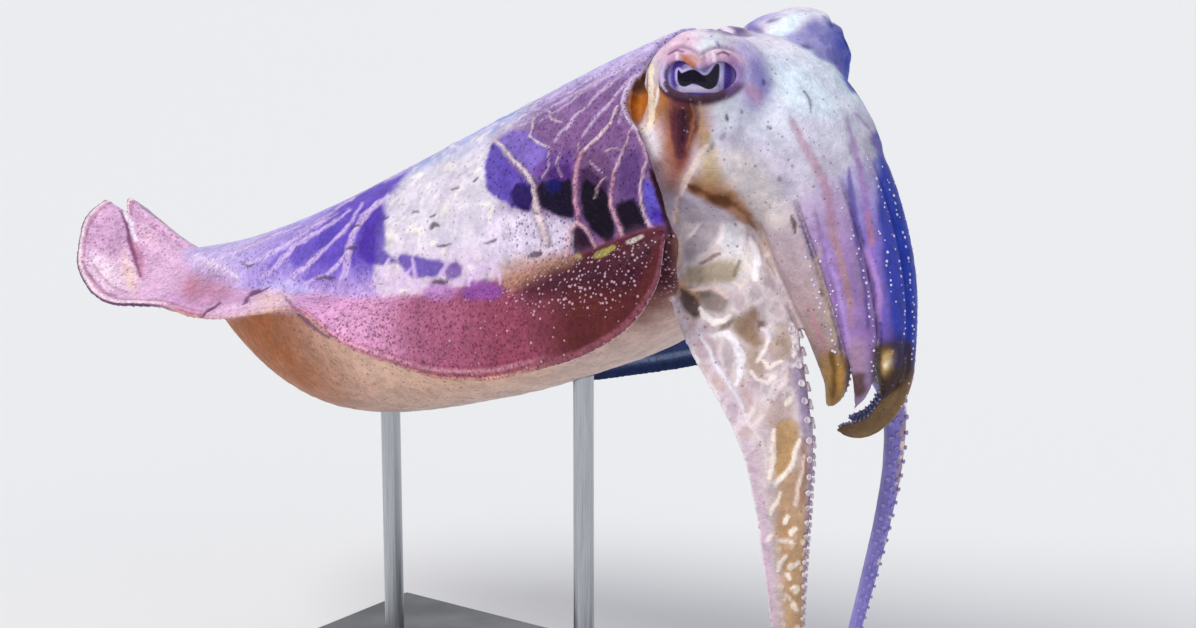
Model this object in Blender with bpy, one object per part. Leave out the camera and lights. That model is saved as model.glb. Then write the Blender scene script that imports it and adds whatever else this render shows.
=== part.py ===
"""Common cuttlefish, life size, hovering head up on a plain display stand.

Sizes are in millimetres and turned into metres where a mesh is made. X is forward, Y is the animal's left
and Z is up. The origin is the centre of the underside of the stand's base.
"""

import math

import bmesh
import bpy
import numpy as np

MM = 0.001
GAP = 0.3  # space kept between two pieces that meet

# Driving dimensions
FRONT = np.array((50.0, 0.0, 172.0))  # centre of the mantle's open front end
MANTLE_PITCH = math.radians(21)  # the mantle slopes up toward the head
MANTLE_NOMINAL_FRONT = 22.0  # station of the mantle's rim before it is swept
MANTLE_SWEPT_FROM = -30.0  # stations behind this one aren't swept

# Mantle: station along its axis, height of the back, of the underside and of the widest line, half width
MANTLE = (
    (-190, 33.2, 31.0, 32.1, 2.0),
    (-184, 32.4, 27.0, 30.0, 7.5),
    (-176, 31.2, 20.0, 26.6, 13.5),
    (-169, 30.2, 10.0, 23.0, 18.5),
    (-162, 29.4, -4.5, 19.8, 22.5),
    (-154, 28.8, -16.0, 16.6, 26.5),
    (-145, 28.4, -25.0, 13.4, 30.5),
    (-130, 28.2, -33.5, 8.6, 35.5),
    (-110, 28.8, -38.7, 3.4, 40.0),
    (-90, 30.2, -41.2, -2.0, 43.0),
    (-55, 33.4, -43.4, -9.0, 45.0),
    (-25, 36.2, -42.8, -12.0, 44.5),
    (0, 38.4, -40.5, -12.0, 42.5),
    (22, 39.4, -38.0, -10.0, 40.0),
)
MANTLE_RIM = (  # angle from the back's middle line, station of the rim there
    (0, 23),
    (45, 19),
    (80, 25),
    (100, 26),
    (118, 20),
    (140, 13),
    (160, 5),
    (180, 2),
)
MANTLE_RINGS = (
    *(-190, -187.5, -184, -179.5, -174, -169, -164.5, -160, -154.5, -147.5, -139, -129, -116),
    *(-102, -87, -72, -57, -43, -30, -18, -7, 3, 13, 22),
)
MANTLE_LIP = ((0.975, 22.5), (0.94, 21.8), (0.9, 18), (0.86, 11))  # share of the rim's size, station
MANTLE_SIDES = 30
MANTLE_SQUARE = (2.05, 2.1)  # roundness of the back and of the underside, 2 for an ellipse

# Fins: station of the root, then station, distance out and height of the margin
FIN_RIGHT = (
    (20, 26, 42.5, -14),
    (14, 21, 45.5, -25.5),
    (3, 8, 50, -35),
    (-12, -8, 53, -37.5),
    (-30, -27, 54, -37),
    (-50, -48, 54, -33),
    (-68, -66, 54.5, -24.5),
    (-84, -82, 55, -14.7),
    (-98, -95, 57, -1),
    (-112, -110, 57.5, 1.5),
    (-128, -128, 54, 4),
    (-142, -144, 48.5, 7.5),
    (-152, -157, 43, 11.5),
    (-162, -168, 39, 15),
    (-170, -180, 37, 18),
    (-177, -194, 34, 21.5),
    (-182, -208, 29, 29),
    (-185, -218, 21, 42),
    (-187, -219, 12, 54),
    (-188, -216, 4.5, 58),
    (-189, -217, 1.8, 45),
    (-189.5, -217, 1.2, 31),
)
FIN_LEFT = (
    (18, 22, 42.5, -17),
    (12, 20, 43.5, -32),
    (2, 7, 46, -44),
    (-12, -9, 48, -49),
    (-30, -28, 49.5, -51),
    (-50, -48, 50.5, -50),
    (-68, -67, 51, -48),
    (-84, -84, 51, -46),
    (-98, -100, 51, -42),
    (-112, -115, 51, -33),
    (-128, -131, 51, -19),
    (-142, -146, 49, -5),
    (-152, -158, 45, 4),
    (-162, -169, 40, 10),
    (-170, -180, 36.5, 14.5),
    (-177, -193, 33.5, 20),
    (-182, -206, 28, 29),
    (-185, -215, 20, 41),
    (-187, -217, 12, 53),
    (-188, -215, 4.5, 57),
    (-189, -216, 1.8, 43),
    (-189.5, -217, 1.2, 31),
)
FIN_ROOT_THICK = 4.0
FIN_TAIL_THICK = 1.6  # thickness of the root at the tail
FIN_EDGE_THICK = 0.9
FIN_SUNK = 4.0  # how far the root reaches into the mantle before the cut
FIN_SHOULDER = 14.0  # how far the fin runs straight out from its root before it bends to the margin
FIN_SHOULDER_FADE = (-178.0, 45.0)  # root station where the shoulder starts, and the length it grows over
FIN_CELLS = (42, 5)

# Head: forward and up from the mantle's front, half depth, half width, nod in degrees
HEAD = (
    (-14, 4, 22, 27, 15),
    (2, 8, 26.5, 31, 8),
    (14, 12.5, 29, 32, 0),
    (26, 15.5, 29, 30, -12),
    (36, 14, 26, 26, -27),
    (43, 10, 22.5, 23, -43),
    (48, 5, 19.5, 20.5, -57),
)
HEAD_CROWN = ((0.82, 3.5), (0.5, 6))  # share of the last ring's size, step beyond it
HEAD_CROWN_TIP = 7.0
HEAD_RINGS = 15
HEAD_SIDES = 28
HEAD_BLEND_CELL = 1.5  # cell of the mesh that blends the orbits and cheeks into the head
HEAD_BLEND_PASSES = 14
HEAD_TRIANGLES = 1300
HEAD_ROLL = math.radians(3.5)  # the left eye is carried a little higher
ORBIT_PLACE = (27.0, 19.5, 33.5)  # forward, out, up
ORBIT_SIZE = (17.5, 16.0, 14.5)
CHEEK_PLACE = (27.0, 17.0, 18.0)
CHEEK_SIZE = (19.0, 16.0, 21.0)
KNOB_PLACE = (20.0, 1.5, 41.6)  # low knob between the eyes
KNOB_SIZE = (6.5, 5.0, 5.0)
EYE_PLACE = (28.0, 23.5, 35.8)
EYE_RADIUS = 11.2
EYE_LOOK = (0.44, 0.88, 0.2)  # forward, out, up
LID_THICK = 1.3
EYE_OPENING = (9.6, 5.6)  # half width, half height between the lids
LID_DROOP = 3.2  # how far the middle of the upper lid hangs

# Funnel: forward and up from the mantle's front, half height, half width. Its base spans the opening
FUNNEL = (
    (-10, -12, 16.0, 30),
    (4, -16, 14.5, 29),
    (12, -19, 12.5, 24),
    (17.5, -22, 10.5, 16),
    (22, -24.8, 8.8, 10.5),
    (27, -28, 7.6, 8.4),
    (32, -31.5, 6.6, 7.2),
)
FUNNEL_MOUTH = ((0.8, 0.5), (0.66, -1.0), (0.62, -11.0))  # share of the tip's size, step beyond it

FUNNEL_RINGS = 10

# Mouth: a low mound in the middle of the arms, with a slit for the beak
MOUTH_RADIUS = 6.0
MOUTH_SUNK = 2.5  # how far the mound's middle lies behind the head's front
MOUTH_SLIT = (0.6, 3.2, 2.5)  # half height, half width, depth

# Upper six arms, held together as one bundle: forward and up, half depth, half width of the bundle
BUNDLE = (
    (40, 17, 18.4, 19.4),
    (47.5, 8, 18.6, 19.6),
    (54, -6, 18.5, 19.8),
    (59.5, -21, 17, 18),
    (63, -35, 14.3, 14.8),
    (64.2, -45, 12, 12.2),
    (61.2, -52, 9.6, 9.8),
    (54, -55, 7.6, 7.8),
)
BUNDLE_HOLLOW = 0.44  # share of the bundle's size that the arms leave free in the middle
ARM_TURN = {1: 20.0, 2: 60.5, 3: 105.5}  # degrees from the front of the bundle round to the arm's middle
ARM_SPAN = {1: 20.0, 2: 20.5, 3: 24.5}  # half of the angle that each arm takes
ARM_END = {-1: {1: 0.82, 2: 0.85, 3: 0.91}, 1: {1: 1.0, 2: 0.97, 3: 0.85}}  # shares of the bundle's length
ARM_TIP = {-1: {1: 0.85, 2: 0.5, 3: 0.6}, 1: {1: 0.9, 2: 0.85, 3: 0.5}}  # sizes as shares of the arm's
ARM_DRIFT = {-1: {1: -0.8, 2: -1.6, 3: -2.6}, 1: {1: 0.0, 2: 0.0, 3: 0.0}}  # how far a tip bends forward
ARM_CAP = 0.93  # share of an arm's length at which its tip starts to round off
ARM_SPLIT = 0.45
ARM_ROOT = 0.06
ARM_RINGS = (8, 9)

# Lowest arm of the right and of the left side: forward, out, up, half width, half thickness
FOURTH_ARM = {
    -1: (
        (19, 11.5, 9, 8.5, 5.5),
        (24, 16, -1, 10.5, 6.4),
        (29, 19.5, -11, 12.6, 6.5),
        (34.5, 21.5, -22, 14.6, 6.2),
        (41.5, 23.5, -33, 14.2, 5.7),
        (49, 26.5, -45, 11.6, 5.1),
        (54.7, 28.7, -57, 9.4, 4.6),
        (56.5, 28.4, -73, 7.3, 4.0),
        (56, 25.8, -91, 5.6, 3.4),
        (54.8, 21.8, -110, 4.2, 2.8),
        (54.4, 18.1, -130, 2.8, 2.1),
        (55, 16, -149, 1.1, 1.1),
    ),
    1: (
        (19, 11.5, 9, 8.5, 5.5),
        (24, 16, -1, 10.5, 6.4),
        (29, 19.5, -11, 12.6, 6.5),
        (34.5, 21.5, -22, 14.0, 6.2),
        (42, 23.5, -33, 12.2, 5.6),
        (50, 27, -45, 8.4, 4.7),
        (56, 29.3, -57, 5.1, 3.9),
        (57, 29.2, -73, 3.8, 3.3),
        (55.9, 26.1, -91, 3.2, 2.8),
        (53.8, 21.4, -110, 2.8, 2.4),
        (51.3, 16.4, -130, 2.1, 1.9),
        (49.1, 12.7, -149, 1.0, 1.0),
    ),
}
FOURTH_FACING = (0.809, -0.588)  # forward and out, from the keel to the edge with the suckers
FOURTH_KEEL = 0.35  # thickness of the keel's edge as a share of the arm's
FOURTH_SPLITS = (0.34, 0.68)
FOURTH_RINGS = (9, 7, 8)
FOURTH_SIDES = 14

# Suckers: sides, height as a share of the radius, depth sunk in, the cup's depth as a share of the height
SUCKER_SIDES = 5
SUCKER_HIGH = 0.85
SUCKER_SUNK = 0.9
SUCKER_CUP = 0.5
SUCKER_STALK = 0.72  # radius at the root as a share of the rim's
UPPER_SUCKERS = 13  # on each upper arm, in two rows set in turn
UPPER_SUCKER_START = 0.2  # share of the arm's length
UPPER_SUCKER_SIZE = 0.165  # radius as a share of the hollow's
FOURTH_SUCKERS = 22
FOURTH_SUCKER_START = 0.2
FOURTH_SUCKER_SIZE = 0.3  # radius as a share of the arm's half thickness
FOURTH_SUCKER_TURN = 17.0  # degrees round the arm's edge from its middle
SUCKER_LEAST = 0.45  # smallest radius, at the tips

# Stand
BASE_SIZE = (190.0, 110.0, 12.0)
ROD_RADIUS = 3.0
ROD_PLACES = {"stand_rod_front": 22.0, "stand_rod_back": -52.0}
ROD_REACH = 30.0  # how far a rod reaches into the mantle before the cut

COLOURS = {  # base colour, roughness, metallic
    "mantle": ((0.34, 0.22, 0.42), 0.45, 0),
    "fin": ((0.55, 0.30, 0.38), 0.4, 0),
    "head": ((0.72, 0.64, 0.62), 0.45, 0),
    "eye": ((0.03, 0.02, 0.05), 0.12, 0),
    "funnel": ((0.72, 0.60, 0.50), 0.45, 0),
    "arm": ((0.66, 0.54, 0.50), 0.45, 0),
    "fourth": ((0.68, 0.60, 0.48), 0.45, 0),
    "base": ((0.05, 0.05, 0.055), 0.35, 0),
    "rod": ((0.62, 0.62, 0.64), 0.3, 1),
}


def unit(vector):
    vector = np.asarray(vector, float)
    return vector / np.linalg.norm(vector, axis=-1, keepdims=True)


def read_curve(stations, values, at, overshoot=False):
    """Values at the given stations on a smooth curve through the rows, which may overshoot."""
    x = np.asarray(stations, float)
    y = np.asarray(values, float)
    at = np.asarray(at, float)
    step = np.diff(x)[:, None]
    slope = np.diff(y, axis=0) / step
    before, after = slope[:-1], slope[1:]
    if overshoot:
        middle = (y[2:] - y[:-2]) / (x[2:] - x[:-2])[:, None]
    else:
        same = before * after > 0
        middle = np.where(same, 2 * before * after / np.where(same, before + after, 1), 0)
    lean = np.concatenate([slope[:1], middle, slope[-1:]])
    cell = np.clip(np.searchsorted(x, at, side="right") - 1, 0, len(x) - 2)
    long = step[cell]
    t = (at[:, None] - x[cell][:, None]) / long
    return (
        (1 + 2 * t) * (1 - t) ** 2 * y[cell]
        + t * (1 - t) ** 2 * long * lean[cell]
        + t * t * (3 - 2 * t) * y[cell + 1]
        + t * t * (t - 1) * long * lean[cell + 1]
    )


def read_route(rows, shares, places):
    """Rows at the given shares of a route's length. The first columns are its places."""
    rows = np.asarray(rows, float)
    chords = np.linalg.norm(np.diff(rows[:, :places], axis=0), axis=1)
    stations = np.concatenate([[0], np.cumsum(chords)])
    return read_curve(stations, rows, np.asarray(shares, float) * stations[-1], overshoot=True)


def route_length(rows, places):
    rows = np.asarray(rows, float)
    return np.linalg.norm(np.diff(rows[:, :places], axis=0), axis=1).sum()


def rounded(angle, square):
    """Across and up on a unit oval. The angle runs from the top round to the side, and 2 makes a circle."""
    across = np.sign(np.sin(angle)) * np.abs(np.sin(angle)) ** (2 / square)
    up = np.sign(np.cos(angle)) * np.abs(np.cos(angle)) ** (2 / square)
    return across, up


def ring_angles(sides):
    return np.arange(sides) * 2 * math.pi / sides


def from_mantle(along, out, high):
    """Places in the model of points given along, across and above the mantle's axis."""
    cosine, sine = math.cos(MANTLE_PITCH), math.sin(MANTLE_PITCH)
    offset = np.stack([along * cosine - high * sine, out + 0 * along, along * sine + high * cosine], -1)
    return FRONT + offset


def loft_faces(rings, sides):
    """Triangles over rings of points, closed by one point before the first ring and one after the last."""
    first, last = rings * sides, rings * sides + 1
    faces = []
    for j in range(sides):
        k = (j + 1) % sides
        for i in range(rings - 1):
            a, b = i * sides + j, i * sides + k
            faces += [(a, b, b + sides), (a, b + sides, a + sides)]
        faces.append((first, k, j))
        faces.append((last, (rings - 1) * sides + j, (rings - 1) * sides + k))
    return faces


def make_material(kind):
    material = bpy.data.materials.get(kind)
    if material:
        return material
    colour, roughness, metallic = COLOURS[kind]
    material = bpy.data.materials.new(kind)
    material.use_nodes = True
    shader = material.node_tree.nodes["Principled BSDF"]
    shader.inputs["Base Color"].default_value = (*colour, 1)
    shader.inputs["Roughness"].default_value = roughness
    shader.inputs["Metallic"].default_value = metallic
    material.diffuse_color = (*colour, 1)
    return material


def make_object(name, points, faces, kind, parent, smooth=True):
    """A mesh object with its origin at its points' middle, and with every face turned outward."""
    points = np.asarray(points, float)
    origin = points.mean(axis=0)
    mesh = bpy.data.meshes.new(name)
    mesh.from_pydata([tuple(p) for p in (points - origin) * MM], [], faces)
    work = bmesh.new()
    work.from_mesh(mesh)
    bmesh.ops.recalc_face_normals(work, faces=work.faces)
    work.to_mesh(mesh)
    work.free()
    if smooth:
        mesh.shade_smooth()
    piece = bpy.data.objects.new(name, mesh)
    piece.location = [float(c) for c in origin * MM]
    piece.parent = parent
    mesh.materials.append(make_material(kind))
    bpy.context.scene.collection.objects.link(piece)
    return piece


def make_loft(name, rings, ends, kind, parent):
    rings = np.asarray(rings, float)
    count, sides = rings.shape[:2]
    points = np.concatenate([rings.reshape(-1, 3), np.asarray(ends, float)])
    return make_object(name, points, loft_faces(count, sides), kind, parent)


def make_cutter(source, grow=0.0):
    """A hidden copy of a piece, with its skin moved out by the given distance."""
    cutter = source.copy()
    cutter.data = source.data.copy()
    cutter.name = source.name + "_cutter"
    normals = [vertex.normal.copy() for vertex in cutter.data.vertices]
    for vertex, normal in zip(cutter.data.vertices, normals):
        vertex.co += normal * grow * MM
    cutter.hide_render = True
    cutter.display_type = "WIRE"
    bpy.context.scene.collection.objects.link(cutter)
    return cutter


def keep_largest(piece):
    """Drops every closed surface of the mesh but the largest."""
    work = bmesh.new()
    work.from_mesh(piece.data)
    bmesh.ops.triangulate(work, faces=work.faces)
    left = set(work.faces)
    best, best_size = set(), 0
    while left:
        group, waiting = set(), [next(iter(left))]
        while waiting:
            face = waiting.pop()
            if face in group:
                continue
            group.add(face)
            for side in face.edges:
                if len(side.link_faces) == 2:
                    waiting += side.link_faces
        left -= group
        size = abs(sum(f.verts[0].co.dot(f.verts[1].co.cross(f.verts[2].co)) for f in group))
        if size > best_size:
            best, best_size = group, size
    bmesh.ops.delete(work, geom=[f for f in work.faces if f not in best], context="FACES")
    work.to_mesh(piece.data)
    work.free()


def bake_modifiers(piece):
    """Turns what the piece's modifiers make into its mesh."""
    bpy.context.view_layer.update()
    graph = bpy.context.evaluated_depsgraph_get()
    mesh = bpy.data.meshes.new_from_object(piece.evaluated_get(graph))
    piece.modifiers.clear()
    old, piece.data = piece.data, mesh
    bpy.data.meshes.remove(old)


def combine(piece, operation, others):
    """Cuts the others from the piece, or joins them to it. The exact solver loses these meshes."""
    for other in others:
        change = piece.modifiers.new(operation.lower(), "BOOLEAN")
        change.operation = operation
        change.solver = "MANIFOLD"
        change.object = other
    bake_modifiers(piece)
    for other in others:
        bpy.data.objects.remove(other)
    keep_largest(piece)
    piece.data.shade_smooth()
    piece.data.set_sharp_from_angle(angle=math.radians(40))


def mantle_sizes(along):
    rows = np.asarray(MANTLE, float)
    return read_curve(rows[:, 0], rows[:, 1:], along).T


def mantle_sweep(along, angle):
    """The station moved so that the mantle's front rim follows its own line."""
    rim = np.asarray(MANTLE_RIM, float)
    fold = np.abs((np.degrees(angle) + 180) % 360 - 180)
    reach = read_curve(rim[:, 0], rim[:, 1:], fold)[:, 0]
    share = np.maximum(along - MANTLE_SWEPT_FROM, 0) / (MANTLE_NOMINAL_FRONT - MANTLE_SWEPT_FROM)
    return along + (reach - MANTLE_NOMINAL_FRONT) * share**1.5


def mantle_ring(along, angle, share=1.0, sized_at=None):
    """Points round the mantle at one station, and a share of the full size towards its middle."""
    sized_at = along if sized_at is None else sized_at
    top, under, wide, half = (value[0] for value in mantle_sizes([sized_at]))
    out_back, up_back = rounded(angle, MANTLE_SQUARE[0])
    out_under, up_under = rounded(angle, MANTLE_SQUARE[1])
    upper = np.cos(angle) >= 0
    out = half * np.where(upper, out_back, out_under)
    high = wide + np.where(upper, (top - wide) * up_back, (wide - under) * up_under)
    middle = (top + under) / 2
    swept = mantle_sweep(np.full(len(angle), float(along)), angle)
    return from_mantle(swept, out * share, middle + (high - middle) * share)


def make_mantle(parent):
    angle = ring_angles(MANTLE_SIDES)
    rings = [mantle_ring(along, angle) for along in MANTLE_RINGS]
    rings += [mantle_ring(along, angle, share, MANTLE_NOMINAL_FRONT) for share, along in MANTLE_LIP]
    tail = from_mantle(np.array(-191.5), np.array(0.0), np.array(32.3))
    inside = rings[-1].mean(axis=0)
    return make_loft("mantle", rings, [tail, inside], "mantle", parent)


def fin_grid(rows, side, cells):
    """Points over the fin's middle surface, from the front to the tail and from the root to the margin."""
    rows = np.asarray(rows, float)
    margin = rows[:, 1:]
    steps = np.concatenate([[0], np.cumsum(np.linalg.norm(np.diff(margin, axis=0), axis=1))])
    at = read_curve(steps, rows, np.linspace(0, steps[-1], cells[0] + 1))
    root_along = at[:, 0]
    _, _, wide, half = mantle_sizes(root_along)
    turn = np.full(len(root_along), math.radians(97))
    root_out = np.maximum(half - FIN_SUNK, at[-1, 2])
    root = np.stack([mantle_sweep(root_along, turn), root_out, wide], -1)
    edge = at[:, 1:4]
    across = np.linspace(0, 1, cells[1] + 1)[None, :, None]
    straight = (root + edge) / 2
    outward = np.full(len(root), FIN_SHOULDER)
    shoulder = root + np.stack([(edge - root)[:, 0] / 2, outward, 0 * root_along], -1)
    start, fade = FIN_SHOULDER_FADE
    share = np.clip((root_along - start) / fade, 0, 1)
    share = (share * np.clip(np.linalg.norm(edge - root, axis=1) / 22, 0, 1))[:, None]
    bend = straight * (1 - share) + shoulder * share
    root, bend, edge = root[:, None], bend[:, None], edge[:, None]
    grid = root * (1 - across) ** 2 + bend * 2 * across * (1 - across) + edge * across**2
    grid[..., 1] *= side
    return from_mantle(grid[..., 0], grid[..., 1], grid[..., 2])


def sheet_solid(grid, thick):
    """Points and triangles of a closed sheet whose two faces are split alike."""
    along = np.gradient(grid, axis=0)
    across = np.gradient(grid, axis=1)
    normal = unit(np.cross(along, across))
    half = thick[..., None] / 2
    rows, columns = grid.shape[:2]
    points = np.concatenate([(grid + normal * way * half).reshape(-1, 3) for way in (1, -1)])
    other = rows * columns
    faces = []
    for i in range(rows - 1):
        for j in range(columns - 1):
            a = i * columns + j
            b, c, d = a + 1, a + columns + 1, a + columns
            for triangle in ((a, b, c), (a, c, d)):
                faces.append(triangle)
                faces.append(tuple(other + index for index in reversed(triangle)))
    border = [i * columns for i in range(rows)]
    border += [(rows - 1) * columns + j for j in range(1, columns)]
    border += [i * columns + columns - 1 for i in range(rows - 2, -1, -1)]
    border += list(range(columns - 2, 0, -1))
    for a, b in zip(border, border[1:] + border[:1]):
        faces += [(a, b, other + b), (a, other + b, other + a)]
    return points, faces


def make_fin(name, rows, side, mantle, parent):
    grid = fin_grid(rows, side, FIN_CELLS)
    out = np.linspace(0, 1, FIN_CELLS[1] + 1)[None, :]
    back = np.linspace(0, 1, FIN_CELLS[0] + 1)[:, None]
    root = FIN_ROOT_THICK + (FIN_TAIL_THICK - FIN_ROOT_THICK) * np.clip((back - 0.55) / 0.2, 0, 1)
    thick = FIN_EDGE_THICK + (root - FIN_EDGE_THICK) * (1 - out) ** 1.6
    points, faces = sheet_solid(grid, thick)
    fin = make_object(name, points, faces, "fin", parent)
    combine(fin, "DIFFERENCE", [make_cutter(mantle, GAP)])
    return fin


def path_ring(row, nod, side_angle, square=2.2, share=1.0):
    """An oval ring across the head, nodding forward by the given angle."""
    forward, up, deep, wide = row[:4]
    across, high = rounded(side_angle, square)
    lean = math.radians(nod)
    x = forward - math.sin(lean) * high * deep * share
    z = up + math.cos(lean) * high * deep * share
    return FRONT + np.stack([x, across * wide * share, z], -1)


def make_ball(name, centre, radii, kind, parent, sides=20, levels=10):
    turn = ring_angles(sides)
    rings = []
    for i in range(1, levels):
        fall = math.pi * i / levels
        across = math.sin(fall)
        ring = np.stack([np.cos(turn) * across, np.sin(turn) * across, 0 * turn + math.cos(fall)], -1)
        rings.append(centre + ring * radii)
    ends = [centre + np.array((0, 0, radii[2])), centre - np.array((0, 0, radii[2]))]
    return make_loft(name, rings, ends, kind, parent)


def head_place(place, side):
    """A place beside the head's middle line, tilted with the head's roll."""
    forward, out, up = place
    reach = side * out
    return FRONT + np.array((forward, reach * math.cos(HEAD_ROLL), up + reach * math.sin(HEAD_ROLL)))


def eye_axes(side):
    look = unit((EYE_LOOK[0], side * EYE_LOOK[1], EYE_LOOK[2]))
    level = unit(np.cross((0, 0, 1), look)) * side
    return look, level, np.cross(look, level) * side


def blend_surface(piece, cell, passes, triangles):
    """Melts the pieces joined in one mesh together, and thins its triangles."""
    remesh = piece.modifiers.new("melt", "REMESH")
    remesh.mode = "VOXEL"
    remesh.voxel_size = cell * MM
    smooth = piece.modifiers.new("soften", "SMOOTH")
    smooth.iterations = passes
    smooth.factor = 0.5
    bake_modifiers(piece)
    thin = piece.modifiers.new("thin", "DECIMATE")
    thin.ratio = triangles / (2 * len(piece.data.polygons))
    bake_modifiers(piece)


def make_opening(side, parent):
    """The space between the lids, whose upper edge hangs in its middle."""
    look, level, rise = eye_axes(side)
    angle = ring_angles(20)
    x = np.cos(angle)
    z = np.sin(angle) * EYE_OPENING[1]
    z = np.where(z > 0, z - LID_DROOP * np.exp(-((x / 0.42) ** 2)), z)
    outline = x[:, None] * EYE_OPENING[0] * level + z[:, None] * rise
    centre = head_place(EYE_PLACE, side)
    rings = [centre + look * depth + outline for depth in (4.0, 22.0)]
    return make_loft("opening", rings, [ring.mean(axis=0) for ring in rings], "eye", parent)


def make_slit(front, onward, parent):
    """The line of the mouth, across the tip of its mound."""
    angle = ring_angles(10)
    half_high, half_wide, deep = MOUTH_SLIT
    up = np.cross(onward, (0, 1, 0))
    outline = np.cos(angle)[:, None] * np.array((0, half_wide, 0)) + np.sin(angle)[:, None] * half_high * up
    rings = [front + onward * (step * deep) + outline for step in (-1, 1)]
    return make_loft("slit", rings, [ring.mean(axis=0) for ring in rings], "head", parent)


def make_eyes_and_head(parent):
    angle = ring_angles(HEAD_SIDES)
    rows = read_route(HEAD, np.linspace(0, 1, HEAD_RINGS), 2)
    rings = [path_ring(row, row[4], angle) for row in rows]
    last = rows[-1]
    lean = math.radians(last[4])
    onward = np.array((math.cos(lean), 0, math.sin(lean)))
    for share, step in HEAD_CROWN:
        rings.append(path_ring(last, last[4], angle, share=share) + onward * step)
    ends = [rings[0].mean(axis=0), rings[-1].mean(axis=0) + onward * (HEAD_CROWN_TIP - HEAD_CROWN[-1][1])]
    head = make_loft("head", rings, ends, "head", parent)
    swellings, lids, hollows = [], [], []
    for side, word in ((-1, "right"), (1, "left")):
        place = head_place(EYE_PLACE, side)
        ball = np.full(3, EYE_RADIUS)
        make_ball("eye_" + word, place, ball, "eye", parent, 18, 9)
        for swelling, size in ((ORBIT_PLACE, ORBIT_SIZE), (CHEEK_PLACE, CHEEK_SIZE)):
            middle = head_place(swelling, side)
            swellings.append(make_ball("swelling", middle, np.array(size), "head", parent))
        lids.append(make_ball("lids", place, ball + GAP + LID_THICK, "head", parent, 18, 9))
        hollows.append(make_ball("socket", place, ball + GAP, "head", parent, 18, 9))
        hollows.append(make_opening(side, parent))
    mouth = ends[1] - onward * MOUTH_SUNK
    swellings.append(make_ball("mouth", mouth, np.full(3, MOUTH_RADIUS), "head", parent))
    swellings.append(make_ball("knob", FRONT + KNOB_PLACE, np.array(KNOB_SIZE), "head", parent))
    hollows.append(make_slit(mouth + onward * MOUTH_RADIUS, onward, parent))
    combine(head, "UNION", swellings)
    blend_surface(head, HEAD_BLEND_CELL, HEAD_BLEND_PASSES, HEAD_TRIANGLES)
    plain = make_cutter(head, GAP)
    combine(head, "UNION", lids)
    combine(head, "DIFFERENCE", hollows)
    return plain


def make_funnel(plain_head, parent):
    angle = ring_angles(18)
    rows = read_route(FUNNEL, np.linspace(0, 1, FUNNEL_RINGS), 2)
    direction = unit(rows[-1, :2] - rows[-2, :2])
    nod = math.degrees(math.atan2(direction[1], direction[0]))
    rings = [path_ring(row, nod, angle, 2.0) for row in rows]
    onward = np.array((direction[0], 0, direction[1]))
    for share, step in FUNNEL_MOUTH:
        rings.append(path_ring(rows[-1], nod, angle, 2.0, share) + onward * step)
    funnel = make_loft("funnel", rings, [rings[0].mean(axis=0), rings[-1].mean(axis=0)], "funnel", parent)
    plain = make_cutter(funnel, GAP)
    combine(funnel, "DIFFERENCE", [make_cutter(plain_head)])
    return plain


def bundle_frame(share):
    """Centre, sizes and outward direction of the bundle of upper arms at a share of its length."""
    before, rows, after = read_route(BUNDLE, [share - 0.01, share, min(share + 0.01, 1)], 2)
    direction = unit((after - before)[:2])
    outward = np.array((-direction[1], 0, direction[0]))
    centre = FRONT + np.array((rows[0], 0, rows[1]))
    return centre, rows[2], rows[3], outward


def make_suckers(name, seats, parent):
    """One mesh of small cups. Each seat is a place, a direction off the skin, one across it and a radius."""
    turn = ring_angles(SUCKER_SIDES)
    points, faces = [], []
    for place, off, across, radius in seats:
        off = unit(off)
        across = unit(across - off * np.dot(across, off))
        circle = np.cos(turn)[:, None] * across + np.sin(turn)[:, None] * np.cross(off, across)
        high = radius * SUCKER_HIGH
        foot = place - off * SUCKER_SUNK
        rings = [foot + circle * radius * SUCKER_STALK, place + off * high + circle * radius]
        ends = [foot, place + off * high * (1 - SUCKER_CUP)]
        faces += [tuple(i + len(points) for i in face) for face in loft_faces(2, SUCKER_SIDES)]
        points += [*rings[0], *rings[1], *ends]
    return make_object(name, points, faces, "arm", parent)


ARM_OUTLINE = (  # share of the span, share of the way from the hollow to the outside
    (-1.0, 0.84),
    (-0.86, 0.95),
    (-0.45, 0.995),
    (0.0, 1.0),
    (0.45, 0.995),
    (0.86, 0.95),
    (1.0, 0.84),
    (1.0, 0.4),
    (0.75, 0.02),
    (0.0, 0.0),
    (-0.75, 0.02),
    (-1.0, 0.4),
)


def arm_ring(number, side, share, shrink=1.0):
    """A section of one upper arm, a wedge of the bundle with rounded corners."""
    centre, deep, wide, outward = bundle_frame(share)
    hollow = BUNDLE_HOLLOW * min(deep, wide)
    points = []
    for across, reach in ARM_OUTLINE:
        turn = math.radians(ARM_TURN[number] + ARM_SPAN[number] * across)
        outer = 1 / math.hypot(math.cos(turn) / deep, math.sin(turn) / wide)
        radius = hollow + (outer - hollow) * reach
        inset = math.asin(min(0.9, 0.7 * GAP / radius)) * across
        turn -= inset
        points.append((math.cos(turn) * radius, side * math.sin(turn) * radius))
    points = np.asarray(points)
    points = points.mean(axis=0) + (points - points.mean(axis=0)) * shrink
    drift = np.array((ARM_DRIFT[side][number], 0, 0)) * arm_late(number, side, share) ** 2
    return centre + drift + points[:, :1] * outward + points[:, 1:] * np.array((0, 1, 0))


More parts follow.
